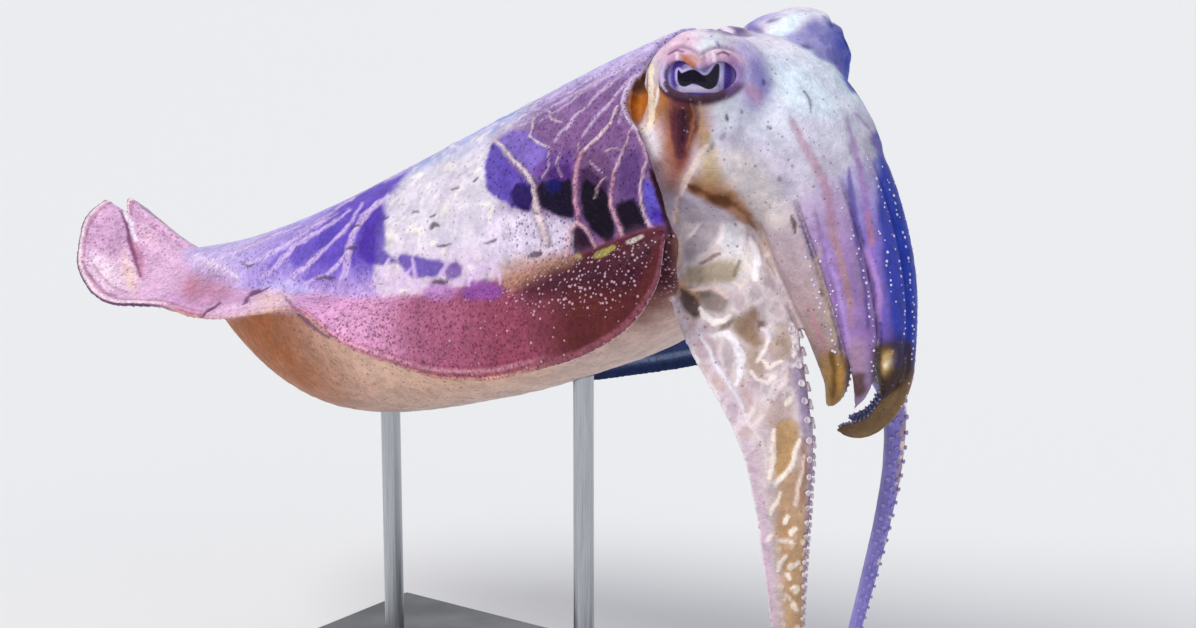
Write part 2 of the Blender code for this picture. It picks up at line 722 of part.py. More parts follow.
def upper_sucker(number, side, share, row, shrink):
    """Where one sucker of an upper arm sits, on the face turned to the middle of the bundle."""
    centre, deep, wide, outward = bundle_frame(share)
    hollow = BUNDLE_HOLLOW * min(deep, wide)
    ring = arm_ring(number, side, share, shrink)
    left, middle, right = ring[8], ring[9], ring[10]
    radius = max(SUCKER_LEAST, hollow * UPPER_SUCKER_SIZE * shrink)
    place = middle + (left - right) * 0.24 * row
    turn = math.radians(ARM_TURN[number])
    off = -(math.cos(turn) * outward + np.array((0, side * math.sin(turn), 0)))
    return place, off, left - right, radius


def fourth_sucker(side, share, row):
    """Where one sucker of the lowest arm sits, beside the middle of its thick edge."""
    centre, facing, thick_way, size = fourth_frame(side, share)
    angle = math.radians(FOURTH_SUCKER_TURN) * row
    place = centre + facing * size[0] * math.cos(angle) + thick_way * size[1] * math.sin(angle)
    off = facing * math.cos(angle) / size[0] + thick_way * math.sin(angle) / size[1]
    across = np.cross(facing, thick_way)
    flip = np.array((1, side, 1))
    radius = max(SUCKER_LEAST, size[1] * FOURTH_SUCKER_SIZE)
    return (FRONT + place * flip), off * flip, across * flip, radius


def sucker_shares(start, count):
    """Shares of an arm's length, closer together toward the tip."""
    steps = np.linspace(1.35, 0.65, count)
    return start + (0.985 - start) * (np.cumsum(steps) - steps[0]) / (steps.sum() - steps[0])


def arm_late(number, side, share):
    """0 over most of an arm, up to 1 at its tip."""
    return max(0.0, (share / ARM_END[side][number] - 0.7) / 0.3)


def arm_shrink(number, side, share):
    """Full size until the last third of the arm, then down to a rounded tip."""
    cap = max(0.0, (share / ARM_END[side][number] - ARM_CAP) / (1 - ARM_CAP))
    narrow = 1 - (1 - ARM_TIP[side][number]) * arm_late(number, side, share) ** 2
    return narrow * math.sqrt(1 - 0.75 * cap**2)


def make_upper_arm(number, side, word, plain_head, parent):
    end = ARM_END[side][number]
    split = end * ARM_SPLIT
    length = route_length(BUNDLE, 2)
    pieces = []
    for part, start, stop, count in (
        ("base", ARM_ROOT, split, ARM_RINGS[0]),
        ("tip", split + 1.3 * GAP / length, end, ARM_RINGS[1]),
    ):
        shares = np.linspace(start, stop, count)
        rings = [arm_ring(number, side, share, arm_shrink(number, side, share)) for share in shares]
        ends = [rings[0].mean(axis=0), rings[-1].mean(axis=0)]
        if part == "tip":
            ends[1] = ends[1] + (ends[1] - rings[-2].mean(axis=0)) * 0.25
        piece = make_loft(f"arm_{word}_{number}_{part}", rings, ends, "arm", parent)
        seats = []
        for index, share in enumerate(sucker_shares(UPPER_SUCKER_START, UPPER_SUCKERS) * end):
            seat = upper_sucker(number, side, share, 2 * (index % 2) - 1, arm_shrink(number, side, share))
            if start + 1.1 * seat[3] / length < share < stop - 1.1 * seat[3] / length:
                seats.append(seat)
        combine(piece, "UNION", [make_suckers("suckers", seats, parent)])
        if part == "base":
            combine(piece, "DIFFERENCE", [make_cutter(plain_head)])
        pieces.append(piece)
    return pieces


def fourth_frame(side, share):
    """Centre of the lowest arm's section, the ways across its width and thickness, and half of each."""
    before, row, after = read_route(FOURTH_ARM[side], [max(share - 0.01, 0), share, min(share + 0.01, 1)], 3)
    direction = unit(after[:3] - before[:3])
    facing = np.array((FOURTH_FACING[0], FOURTH_FACING[1], 0))
    facing = unit(facing - direction * facing.dot(direction))
    return row[:3], facing, np.cross(direction, facing), row[3:]


def fourth_ring(side, share):
    """A section of the lowest arm, thick at the edge with the suckers and thin at its keel."""
    centre, facing, thick_way, size = fourth_frame(side, share)
    angle = ring_angles(FOURTH_SIDES)
    along = np.cos(angle)
    thin = FOURTH_KEEL + (1 - FOURTH_KEEL) * (0.5 + 0.5 * along) ** 0.6
    offset = along[:, None] * size[0] * facing + (np.sin(angle) * thin)[:, None] * size[1] * thick_way
    points = centre + offset
    points[:, 1] *= side
    return FRONT + points


def make_fourth_arm(side, word, cutters, parent):
    length = route_length(FOURTH_ARM[side], 3)
    starts = (0.0, *(split + 1.3 * GAP / length for split in FOURTH_SPLITS))
    stops = (*FOURTH_SPLITS, 1.0)
    for part, start, stop, count in zip(("base", "middle", "tip"), starts, stops, FOURTH_RINGS):
        rings = [fourth_ring(side, share) for share in np.linspace(start, stop, count)]
        ends = [rings[0].mean(axis=0), rings[-1].mean(axis=0)]
        if part == "tip":
            ends[1] = ends[1] - np.array((0, 0, 2.0))
        piece = make_loft(f"arm_{word}_4_{part}", rings, ends, "fourth", parent)
        seats = []
        for index, share in enumerate(sucker_shares(FOURTH_SUCKER_START, FOURTH_SUCKERS)):
            seat = fourth_sucker(side, share, 2 * (index % 2) - 1)
            if start + 1.1 * seat[3] / length < share < stop - 1.1 * seat[3] / length:
                seats.append(seat)
        combine(piece, "UNION", [make_suckers("suckers", seats, parent)])
        if part == "base":
            combine(piece, "DIFFERENCE", cutters)


def make_stand(mantle, parent):
    length, width, height = BASE_SIZE
    bpy.ops.mesh.primitive_cube_add(size=1, location=(0, 0, height / 2 * MM))
    base = bpy.context.object
    base.name = "stand_base"
    base.scale = (length * MM, width * MM, height * MM)
    bpy.ops.object.transform_apply(location=False, rotation=False, scale=True)
    bevel = base.modifiers.new("rounded", "BEVEL")
    bevel.width = 2.5 * MM
    bevel.segments = 2
    base.data.materials.append(make_material("base"))
    base.parent = parent
    cosine, sine = math.cos(MANTLE_PITCH), math.sin(MANTLE_PITCH)
    for name, x in ROD_PLACES.items():
        along = (x - FRONT[0]) * cosine
        under = mantle_sizes([along])[1][0]
        foot = height + GAP
        top = FRONT[2] + along * sine + under * cosine + ROD_REACH
        angle = ring_angles(20)
        circle = np.stack([np.cos(angle), np.sin(angle), 0 * angle], -1) * ROD_RADIUS
        ends = [np.array((x, 0, foot)), np.array((x, 0, top))]
        rod = make_loft(name, [end + circle for end in ends], ends, "rod", parent)
        combine(rod, "DIFFERENCE", [make_cutter(mantle, GAP)])


def main():
    for old in list(bpy.data.objects):
        bpy.data.objects.remove(old)
    whole = bpy.data.objects.new("cuttlefish", None)
    bpy.context.scene.collection.objects.link(whole)
    mantle = make_mantle(whole)
    make_fin("fin_right", FIN_RIGHT, -1, mantle, whole)
    make_fin("fin_left", FIN_LEFT, 1, mantle, whole)
    make_stand(mantle, whole)
    plain_head = make_eyes_and_head(whole)
    plain_funnel = make_funnel(plain_head, whole)
    for side, word in ((-1, "right"), (1, "left")):
        for number in ARM_TURN:
            upper = make_upper_arm(number, side, word, plain_head, whole)
        cutters = [make_cutter(piece, GAP) for piece in (upper[0], mantle)]
        cutters += [make_cutter(piece) for piece in (plain_head, plain_funnel)]
        make_fourth_arm(side, word, cutters, whole)
    combine(mantle, "DIFFERENCE", [plain_head, plain_funnel])


main()
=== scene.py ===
"""The looks of a life-size common cuttlefish that hovers head up on a plain display stand.

Sizes are in millimetres, in the part's own frame, and turned into metres where a mesh is made. X is forward,
Y is the animal's left and Z is up.
"""

import math

import bmesh
import bpy
import numpy as np
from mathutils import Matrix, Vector, kdtree


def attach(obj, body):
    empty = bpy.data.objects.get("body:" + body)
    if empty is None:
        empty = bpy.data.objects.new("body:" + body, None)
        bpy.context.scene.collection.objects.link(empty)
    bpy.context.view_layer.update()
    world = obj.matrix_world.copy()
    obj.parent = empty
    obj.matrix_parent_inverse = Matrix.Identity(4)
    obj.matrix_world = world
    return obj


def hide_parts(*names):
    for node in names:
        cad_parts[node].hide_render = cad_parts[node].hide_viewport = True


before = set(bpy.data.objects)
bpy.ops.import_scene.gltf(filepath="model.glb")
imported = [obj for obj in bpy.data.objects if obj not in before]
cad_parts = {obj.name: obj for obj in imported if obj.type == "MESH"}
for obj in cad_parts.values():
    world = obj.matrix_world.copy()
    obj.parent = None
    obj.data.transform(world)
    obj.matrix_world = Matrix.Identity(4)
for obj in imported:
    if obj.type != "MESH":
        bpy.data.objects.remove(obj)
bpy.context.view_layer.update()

MM = 0.001
GAP = 0.3  # space kept between the solids

# Driving dimensions
FRONT = np.array((50.0, 0.0, 172.0))  # centre of the mantle's open front end
MANTLE_PITCH = math.radians(21)  # the mantle slopes up toward the head
MANTLE_NOMINAL_FRONT = 22.0  # station of the mantle's rim before it is swept
MANTLE_SWEPT_FROM = -30.0  # stations behind this one aren't swept

# Mantle: station along its axis, height of the back, of the underside and of the widest line, half width
MANTLE = (
    (-190, 33.2, 31.0, 32.1, 2.0),
    (-184, 32.4, 27.0, 30.0, 7.5),
    (-176, 31.2, 20.0, 26.6, 13.5),
    (-169, 30.2, 10.0, 23.0, 18.5),
    (-162, 29.4, -4.5, 19.8, 22.5),
    (-154, 28.8, -16.0, 16.6, 26.5),
    (-145, 28.4, -25.0, 13.4, 30.5),
    (-130, 28.2, -33.5, 8.6, 35.5),
    (-110, 28.8, -38.7, 3.4, 40.0),
    (-90, 30.2, -41.2, -2.0, 43.0),
    (-55, 33.4, -43.4, -9.0, 45.0),
    (-25, 36.2, -42.8, -12.0, 44.5),
    (0, 38.4, -40.5, -12.0, 42.5),
    (22, 39.4, -38.0, -10.0, 40.0),
)
MANTLE_RIM = (  # angle from the back's middle line, station of the rim there
    (0, 23),
    (45, 19),
    (80, 25),
    (100, 26),
    (118, 20),
    (140, 13),
    (160, 5),
    (180, 2),
)
MANTLE_LIP = ((0.975, 22.5), (0.94, 21.8), (0.9, 18), (0.86, 11))  # share of the rim's size, station
MANTLE_SQUARE = (2.05, 2.1)  # roundness of the back and of the underside, 2 for an ellipse

# Fins: station of the root, then station, distance out and height of the margin
FIN_RIGHT = (
    (20, 26, 42.5, -14),
    (14, 21, 45.5, -25.5),
    (3, 8, 50, -35),
    (-12, -8, 53, -37.5),
    (-30, -27, 54, -37),
    (-50, -48, 54, -33),
    (-68, -66, 54.5, -24.5),
    (-84, -82, 55, -14.7),
    (-98, -95, 57, -1),
    (-112, -110, 57.5, 1.5),
    (-128, -128, 54, 4),
    (-142, -144, 48.5, 7.5),
    (-152, -157, 43, 11.5),
    (-162, -168, 39, 15),
    (-170, -180, 37, 18),
    (-177, -194, 34, 21.5),
    (-182, -208, 29, 29),
    (-185, -218, 21, 42),
    (-187, -219, 12, 54),
    (-188, -216, 4.5, 58),
    (-189, -217, 1.8, 45),
    (-189.5, -217, 1.2, 31),
)
FIN_LEFT = (
    (18, 22, 42.5, -17),
    (12, 20, 43.5, -32),
    (2, 7, 46, -44),
    (-12, -9, 48, -49),
    (-30, -28, 49.5, -51),
    (-50, -48, 50.5, -50),
    (-68, -67, 51, -48),
    (-84, -84, 51, -46),
    (-98, -100, 51, -42),
    (-112, -115, 51, -33),
    (-128, -131, 51, -19),
    (-142, -146, 49, -5),
    (-152, -158, 45, 4),
    (-162, -169, 40, 10),
    (-170, -180, 36.5, 14.5),
    (-177, -193, 33.5, 20),
    (-182, -206, 28, 29),
    (-185, -215, 20, 41),
    (-187, -217, 12, 53),
    (-188, -215, 4.5, 57),
    (-189, -216, 1.8, 43),
    (-189.5, -217, 1.2, 31),
)
FIN_ROOT_TURN = 97.0  # degrees from the back's middle line to the fin's root
FIN_ROOT_THICK = 4.0
FIN_TAIL_THICK = 1.6  # thickness of the root at the tail
FIN_SUNK = 4.0  # how far the root reaches into the mantle before the cut
FIN_SHOULDER = 14.0  # how far the fin runs straight out from its root before it bends to the margin
FIN_SHOULDER_FADE = (-178.0, 45.0)  # root station where the shoulder starts, and the length it grows over
FIN_FULL = 22.0  # width from which the fin has its whole shoulder

# Head: forward and up from the mantle's front, half depth, half width, nod in degrees
HEAD = (
    (-14, 4, 22, 27, 15),
    (2, 8, 26.5, 31, 8),
    (14, 12.5, 29, 32, 0),
    (26, 15.5, 29, 30, -12),
    (36, 14, 26, 26, -27),
    (43, 10, 22.5, 23, -43),
    (48, 5, 19.5, 20.5, -57),
)
HEAD_CROWN = ((0.82, 3.5), (0.5, 6))  # share of the last ring's size, step beyond it
HEAD_CROWN_TIP = 7.0
HEAD_BLEND_CELL = 1.5  # cell of the mesh that blends the orbits and cheeks into the head
HEAD_BLEND_PASSES = 14
HEAD_ROLL = math.radians(3.5)  # the left eye is carried a little higher
ORBIT_PLACE = (27.0, 19.5, 33.5)  # forward, out, up
ORBIT_SIZE = (17.5, 16.0, 14.5)
CHEEK_PLACE = (27.0, 17.0, 18.0)
CHEEK_SIZE = (19.0, 16.0, 21.0)
EYE_PLACE = (28.0, 23.5, 35.8)
EYE_RADIUS = 11.2
EYE_LOOK = (0.44, 0.88, 0.2)  # forward, out, up
LID_THICK = 1.3
EYE_OPENING = (9.6, 5.6)  # half width, half height between the lids
LID_DROOP = 4.0  # how far the middle of the upper lid hangs

# Funnel: forward and up from the mantle's front, half height, half width
FUNNEL = (
    (-10, -12, 16.0, 30),
    (4, -16, 14.5, 29),
    (12, -19, 12.5, 24),
    (17.5, -22, 10.5, 16),
    (22, -24.8, 8.8, 10.5),
    (27, -28, 7.6, 8.4),
    (32, -31.5, 6.6, 7.2),
)
FUNNEL_MOUTH = ((0.8, 0.5), (0.66, -1.0), (0.62, -11.0))  # share of the tip's size, step beyond it

# Mouth: a low mound in the middle of the arms
MOUTH_RADIUS = 6.0
MOUTH_SUNK = 2.5  # how far the mound's middle lies behind the head's front

# Upper six arms, held together as one bundle: forward and up, half depth, half width of the bundle
BUNDLE = (
    (40, 17, 18.4, 19.4),
    (47.5, 8, 18.6, 19.6),
    (54, -6, 18.5, 19.8),
    (59.5, -21, 17, 18),
    (63, -35, 14.3, 14.8),
    (64.2, -45, 12, 12.2),
    (61.2, -52, 9.6, 9.8),
    (54, -55, 7.6, 7.8),
)
BUNDLE_HOLLOW = 0.44  # share of the bundle's size that the arms leave free in the middle
ARM_TURN = {1: 20.0, 2: 60.5, 3: 105.5}  # degrees from the front of the bundle round to the arm's middle
ARM_SPAN = {1: 20.0, 2: 20.5, 3: 24.5}  # half of the angle that each arm takes
ARM_END = {-1: {1: 0.82, 2: 0.85, 3: 0.91}, 1: {1: 1.0, 2: 0.97, 3: 0.85}}  # shares of the bundle's length
ARM_TIP = {-1: {1: 0.85, 2: 0.5, 3: 0.6}, 1: {1: 0.9, 2: 0.85, 3: 0.5}}  # sizes as shares of the arm's
ARM_DRIFT = {-1: {1: -0.8, 2: -1.6, 3: -2.6}, 1: {1: 0.0, 2: 0.0, 3: 0.0}}  # how far a tip bends forward
ARM_CAP = 0.93  # share of an arm's length at which its tip starts to round off
ARM_ROOT = 0.06  # share of the bundle's length where the arms start
ARM_ROOT_SUNK = 0.05  # how much earlier the skin's arms start, inside the head

# Lowest arm of the right and of the left side: forward, out, up, half width, half thickness
FOURTH_ARM = {
    -1: (
        (19, 11.5, 9, 8.5, 5.5),
        (24, 16, -1, 10.5, 6.4),
        (29, 19.5, -11, 12.6, 6.5),
        (34.5, 21.5, -22, 14.6, 6.2),
        (41.5, 23.5, -33, 14.2, 5.7),
        (49, 26.5, -45, 11.6, 5.1),
        (54.7, 28.7, -57, 9.4, 4.6),
        (56.5, 28.4, -73, 7.3, 4.0),
        (56, 25.8, -91, 5.6, 3.4),
        (54.8, 21.8, -110, 4.2, 2.8),
        (54.4, 18.1, -130, 2.8, 2.1),
        (55, 16, -149, 1.1, 1.1),
    ),
    1: (
        (19, 11.5, 9, 8.5, 5.5),
        (24, 16, -1, 10.5, 6.4),
        (29, 19.5, -11, 12.6, 6.5),
        (34.5, 21.5, -22, 14.0, 6.2),
        (42, 23.5, -33, 12.2, 5.6),
        (50, 27, -45, 8.4, 4.7),
        (56, 29.3, -57, 5.1, 3.9),
        (57, 29.2, -73, 3.8, 3.3),
        (55.9, 26.1, -91, 3.2, 2.8),
        (53.8, 21.4, -110, 2.8, 2.4),
        (51.3, 16.4, -130, 2.1, 1.9),
        (49.1, 12.7, -149, 1.0, 1.0),
    ),
}
FOURTH_FACING = (0.809, -0.588)  # forward and out, from the keel to the edge with the suckers
FOURTH_KEEL = 0.35  # thickness of the keel's edge as a share of the arm's


def unit(vector):
    vector = np.asarray(vector, float)
    return vector / np.linalg.norm(vector, axis=-1, keepdims=True)


def read_curve(stations, values, at, overshoot=False):
    """Values at the given stations on a smooth curve through the rows. It may go past them if told so."""
    x = np.asarray(stations, float)
    y = np.asarray(values, float)
    at = np.asarray(at, float)
    step = np.diff(x)[:, None]
    slope = np.diff(y, axis=0) / step
    before, after = slope[:-1], slope[1:]
    if overshoot:
        middle = (y[2:] - y[:-2]) / (x[2:] - x[:-2])[:, None]
    else:
        same = before * after > 0
        middle = np.where(same, 2 * before * after / np.where(same, before + after, 1), 0)
    lean = np.concatenate([slope[:1], middle, slope[-1:]])
    cell = np.clip(np.searchsorted(x, at, side="right") - 1, 0, len(x) - 2)
    long = step[cell]
    t = (at[:, None] - x[cell][:, None]) / long
    return (
        (1 + 2 * t) * (1 - t) ** 2 * y[cell]
        + t * (1 - t) ** 2 * long * lean[cell]
        + t * t * (3 - 2 * t) * y[cell + 1]
        + t * t * (t - 1) * long * lean[cell + 1]
    )


def read_route(rows, shares, places):
    """Rows at the given shares of a route's length. The first columns are its places."""
    rows = np.asarray(rows, float)
    chords = np.linalg.norm(np.diff(rows[:, :places], axis=0), axis=1)
    stations = np.concatenate([[0], np.cumsum(chords)])
    return read_curve(stations, rows, np.asarray(shares, float) * stations[-1], overshoot=True)


def route_length(rows, places):
    rows = np.asarray(rows, float)
    return np.linalg.norm(np.diff(rows[:, :places], axis=0), axis=1).sum()


def rounded(angle, square):
    """Across and up on a unit oval. The angle runs from the top round to the side, and 2 makes a circle."""
    across = np.sign(np.sin(angle)) * np.abs(np.sin(angle)) ** (2 / square)
    up = np.sign(np.cos(angle)) * np.abs(np.cos(angle)) ** (2 / square)
    return across, up


def ring_angles(sides):
    return np.arange(sides) * 2 * math.pi / sides


def from_mantle(along, out, high):
    """Places in the model of points given along, across and above the mantle's axis."""
    cosine, sine = math.cos(MANTLE_PITCH), math.sin(MANTLE_PITCH)
    offset = np.stack([along * cosine - high * sine, out + 0 * along, along * sine + high * cosine], -1)
    return FRONT + offset


def mantle_sizes(along):
    rows = np.asarray(MANTLE, float)
    return read_curve(rows[:, 0], rows[:, 1:], along).T


def mantle_sweep(along, angle):
    """The station moved so that the mantle's front rim follows its own line."""
    rim = np.asarray(MANTLE_RIM, float)
    fold = np.abs((np.degrees(angle) + 180) % 360 - 180)
    reach = read_curve(rim[:, 0], rim[:, 1:], fold)[:, 0]
    share = np.maximum(along - MANTLE_SWEPT_FROM, 0) / (MANTLE_NOMINAL_FRONT - MANTLE_SWEPT_FROM)
    return along + (reach - MANTLE_NOMINAL_FRONT) * share**1.5


def mantle_ring(along, angle, share=1.0, sized_at=None):
    """Points round the mantle at one station, and a share of the full size towards its middle."""
    sized_at = along if sized_at is None else sized_at
    top, under, wide, half = (value[0] for value in mantle_sizes([sized_at]))
    out_back, up_back = rounded(angle, MANTLE_SQUARE[0])
    out_under, up_under = rounded(angle, MANTLE_SQUARE[1])
    upper = np.cos(angle) >= 0
    out = half * np.where(upper, out_back, out_under)
    high = wide + np.where(upper, (top - wide) * up_back, (wide - under) * up_under)
    middle = (top + under) / 2
    swept = mantle_sweep(np.full(len(angle), float(along)), angle)
    return from_mantle(swept, out * share, middle + (high - middle) * share)


def fin_grid(rows, side, cells):
    """Points over the fin's middle surface, from the front to the tail and from the root to the margin."""
    rows = np.asarray(rows, float)
    margin = rows[:, 1:]
    steps = np.concatenate([[0], np.cumsum(np.linalg.norm(np.diff(margin, axis=0), axis=1))])
    at = read_curve(steps, rows, np.linspace(0, steps[-1], cells[0] + 1))
    root_along = at[:, 0]
    _, _, wide, half = mantle_sizes(root_along)
    turn = np.full(len(root_along), math.radians(FIN_ROOT_TURN))
    root_out = np.maximum(half - FIN_SUNK, at[-1, 2])
    root = np.stack([mantle_sweep(root_along, turn), root_out, wide], -1)
    edge = at[:, 1:4]
    across = np.linspace(0, 1, cells[1] + 1)[None, :, None]
    straight = (root + edge) / 2
    outward = np.full(len(root), FIN_SHOULDER)
    shoulder = root + np.stack([(edge - root)[:, 0] / 2, outward, 0 * root_along], -1)
    start, fade = FIN_SHOULDER_FADE
    share = np.clip((root_along - start) / fade, 0, 1)
    share = (share * np.clip(np.linalg.norm(edge - root, axis=1) / FIN_FULL, 0, 1))[:, None]
    bend = straight * (1 - share) + shoulder * share
    root, bend, edge = root[:, None], bend[:, None], edge[:, None]
    grid = root * (1 - across) ** 2 + bend * 2 * across * (1 - across) + edge * across**2
    grid[..., 1] *= side
    return from_mantle(grid[..., 0], grid[..., 1], grid[..., 2])


def path_ring(row, nod, side_angle, square=2.2, share=1.0):
    """An oval ring across the head, nodding forward by the given angle."""
    forward, up, deep, wide = row[:4]
    across, high = rounded(side_angle, square)
    lean = math.radians(nod)
    x = forward - math.sin(lean) * high * deep * share
    z = up + math.cos(lean) * high * deep * share
    return FRONT + np.stack([x, across * wide * share, z], -1)


def head_place(place, side):
    """A place beside the head's middle line, tilted with the head's roll."""
    forward, out, up = place
    out *= side
    return FRONT + np.array((forward, out * math.cos(HEAD_ROLL), up + out * math.sin(HEAD_ROLL)))


def eye_axes(side):
    look = unit((EYE_LOOK[0], side * EYE_LOOK[1], EYE_LOOK[2]))
    level = unit(np.cross((0, 0, 1), look)) * side
    return look, level, np.cross(look, level) * side


def bundle_frame(share):
    """Centre, sizes and outward direction of the bundle of upper arms at a share of its length."""
    before, rows, after = read_route(BUNDLE, [share - 0.01, share, min(share + 0.01, 1)], 2)
    direction = unit((after - before)[:2])
    outward = np.array((-direction[1], 0, direction[0]))
    centre = FRONT + np.array((rows[0], 0, rows[1]))
    return centre, rows[2], rows[3], outward


ARM_OUTLINE = (  # share of the span, share of the way from the hollow to the outside
    (-1.0, 0.84),
    (-0.86, 0.95),
    (-0.45, 0.995),
    (0.0, 1.0),
    (0.45, 0.995),
    (0.86, 0.95),
    (1.0, 0.84),
    (1.0, 0.4),
    (0.75, 0.02),
    (0.0, 0.0),
    (-0.75, 0.02),
    (-1.0, 0.4),
)


def arm_ring(number, side, share, shrink=1.0):
    """A section of one upper arm, a wedge of the bundle with rounded corners."""
    centre, deep, wide, outward = bundle_frame(share)
    hollow = BUNDLE_HOLLOW * min(deep, wide)
    points = []
    for across, reach in ARM_OUTLINE:
        turn = math.radians(ARM_TURN[number] + ARM_SPAN[number] * across)
        outer = 1 / math.hypot(math.cos(turn) / deep, math.sin(turn) / wide)
        radius = hollow + (outer - hollow) * reach
        space = np.interp(share, ARM_SPREAD_AT, ARM_SPREAD)
        turn -= math.asin(min(0.9, 0.5 * space / radius)) * across
        points.append((math.cos(turn) * radius, side * math.sin(turn) * radius))
    points = np.asarray(points)
    points = points.mean(axis=0) + (points - points.mean(axis=0)) * shrink
    drift = np.array((ARM_DRIFT[side][number], 0, 0)) * arm_late(number, side, share) ** 2
    return centre + drift + points[:, :1] * outward + points[:, 1:] * np.array((0, 1, 0))


def arm_late(number, side, share):
    """0 over most of an arm, up to 1 at its tip."""
    return max(0.0, (share / ARM_END[side][number] - 0.7) / 0.3)


def arm_shrink(number, side, share):
    """Full size until the last third of the arm, then down to a rounded tip."""
    cap = max(0.0, (share / ARM_END[side][number] - ARM_CAP) / (1 - ARM_CAP))
    narrow = 1 - (1 - ARM_TIP[side][number]) * arm_late(number, side, share) ** 2
    return narrow * math.sqrt(1 - 0.75 * cap**2)


def fourth_frame(side, share):
    """Centre of the lowest arm's section, the ways across its width and thickness, and half of each."""
    near = [max(share - 0.01, 0), share, min(share + 0.01, 1)]
    before, row, after = read_route(FOURTH_ARM[side], near, 3)
    direction = unit(after[:3] - before[:3])
    facing = np.array((FOURTH_FACING[0], FOURTH_FACING[1], 0))
    facing = unit(facing - direction * facing.dot(direction))
    return row[:3], facing, np.cross(direction, facing), row[3:]


def fourth_ring(side, share):
    """A section of the lowest arm, thick at the edge with the suckers and thin at its keel."""
    centre, facing, thick_way, size = fourth_frame(side, share)
    angle = ring_angles(FOURTH_GRID[1])
    along = np.cos(angle)
    thin = FOURTH_KEEL + (1 - FOURTH_KEEL) * (0.5 + 0.5 * along) ** 0.6
    offset = along[:, None] * size[0] * facing + (np.sin(angle) * thin)[:, None] * size[1] * thick_way
    points = centre + offset
    points[:, 1] *= side
    return FRONT + points


# Finer sizes of the skin
VOXEL = 0.6  # cell of the mesh that melts all forms into one skin
SKIN_PASSES = 5
MANTLE_GRID = (170, 150)  # sections along a form and points round each, as in the other grids
MANTLE_SPAN = (-190.0, 22.0)
FIN_GRID = (420, 26)  # cells along the margin and from the root to it
FIN_SKIN_EDGE = 1.25  # thickness at the fin's margin
HEAD_GRID = (44, 64)
BALL_GRID = (48, 26)  # points round a ball and rings from pole to pole
FUNNEL_GRID = (30, 44)
ARM_GRID = (90, 44)
ARM_SPREAD = (0.35, 0.8)  # space between neighbouring arms, near their roots and near their tips
ARM_SPREAD_AT = (0.15, 0.9)  # shares of the bundle's length for these
FOURTH_GRID = (150, 44)
BROW_KNOB = ((20.0, 1.5, 41.6), (6.5, 5.0, 5.0))  # low knob between the eyes: place, radii
MANTLE_FORM = 0  # numbers of the forms in the order that make_skin adds them
FIN_FORMS = (1, 2)
HEAD_FORMS = (3, 13, 14)  # with the balls of the lids
FUNNEL_FORM = 4
ARM_FORMS = {-1: (5, 6, 7), 1: (9, 10, 11)}
FOURTH_FORMS = {-1: 8, 1: 12}
ALL_ARM_FORMS = range(5, 13)
SEAMS = ((FIN_FORMS, (MANTLE_FORM,)), (ALL_ARM_FORMS, HEAD_FORMS[:1]))  # forms whose border is softened
WEB_LEVELS = (4.0, -30.0)  # heights between which the web runs
WEB_THICK = 1.5  # half thickness
WEB_REACH = 1.5  # how far it reaches into each arm
WEB_GRID = (24, 12)
WEB_STEPS = 300  # sections of each arm among which its edge is looked up
LOWER_LID = 0.97  # height of the lower half of the eye's opening as a share of the upper one's
LID_LOBE = 0.42  # half width of the upper lid's hanging lobe as a share of the opening's
EYE_PLAY = 0.12  # space between the eyeball and the skin
EYE_HOLLOW_GRID = (90, 46)
OPENING_DEPTHS = (4.0, 22.0)  # distances from the eye's centre between which the opening is cut
TAIL_END = (-191.5, 32.3)  # station and height of the mantle's last point
GRID_STATIONS = 200  # stations of the mantle's grid that the painting uses
SEAM_PASSES = (30, 60)  # how far the softening reaches from the border, and how strong it is


def loft(rings, ends):
    """Points and faces over rings of points, closed by one point at each end."""
    rings = np.asarray(rings, float)
    count, sides = rings.shape[:2]
    points = np.concatenate([rings.reshape(-1, 3), np.asarray(ends, float)])
    i, j = np.meshgrid(np.arange(count - 1), np.arange(sides), indexing="ij")
    a = i * sides + j
    b = i * sides + (j + 1) % sides
    faces = np.stack([a, b, b + sides, a + sides], -1).reshape(-1, 4).tolist()
    first, last, edge = count * sides, count * sides + 1, (count - 1) * sides
    for j in range(sides):
        k = (j + 1) % sides
        faces.append((first, k, j))
        faces.append((last, edge + j, edge + k))
    return points, faces


def ball(centre, radii, grid=BALL_GRID):
    turn = ring_angles(grid[0])
    rings = []
    for fall in np.linspace(0, math.pi, grid[1])[1:-1]:
        across = math.sin(fall)
        ring = np.stack([np.cos(turn) * across, np.sin(turn) * across, 0 * turn + math.cos(fall)], -1)
        rings.append(centre + ring * radii)
    pole = np.array((0, 0, radii[2]))
    return loft(rings, [centre + pole, centre - pole])


def joined(parts):
    """One list of points and faces from several."""
    points, faces, start = [], [], 0
    for some, around in parts:
        points.append(some)
        faces += [tuple(start + index for index in face) for face in around]
        start += len(some)
    return np.concatenate(points), faces


def mesh_object(name, points, faces):
    mesh = bpy.data.meshes.new(name)
    mesh.from_pydata((np.asarray(points, float) * MM).tolist(), [], faces)
    work = bmesh.new()
    work.from_mesh(mesh)
    bmesh.ops.recalc_face_normals(work, faces=work.faces)
    work.to_mesh(mesh)
    work.free()
    mesh.shade_smooth()
    piece = bpy.data.objects.new(name, mesh)
    bpy.context.scene.collection.objects.link(piece)
    return piece


def bake_modifiers(piece):
    bpy.context.view_layer.update()
    mesh = bpy.data.meshes.new_from_object(piece.evaluated_get(bpy.context.evaluated_depsgraph_get()))
    piece.modifiers.clear()
    old, piece.data = piece.data, mesh
    bpy.data.meshes.remove(old)


def melt(piece, cell, passes):
    """One closed skin round everything in the mesh, then softened."""
    remesh = piece.modifiers.new("melt", "REMESH")
    remesh.mode = "VOXEL"
    remesh.voxel_size = cell * MM
    soften = piece.modifiers.new("soften", "SMOOTH")
    soften.iterations = passes
    soften.factor = 0.5
    bake_modifiers(piece)


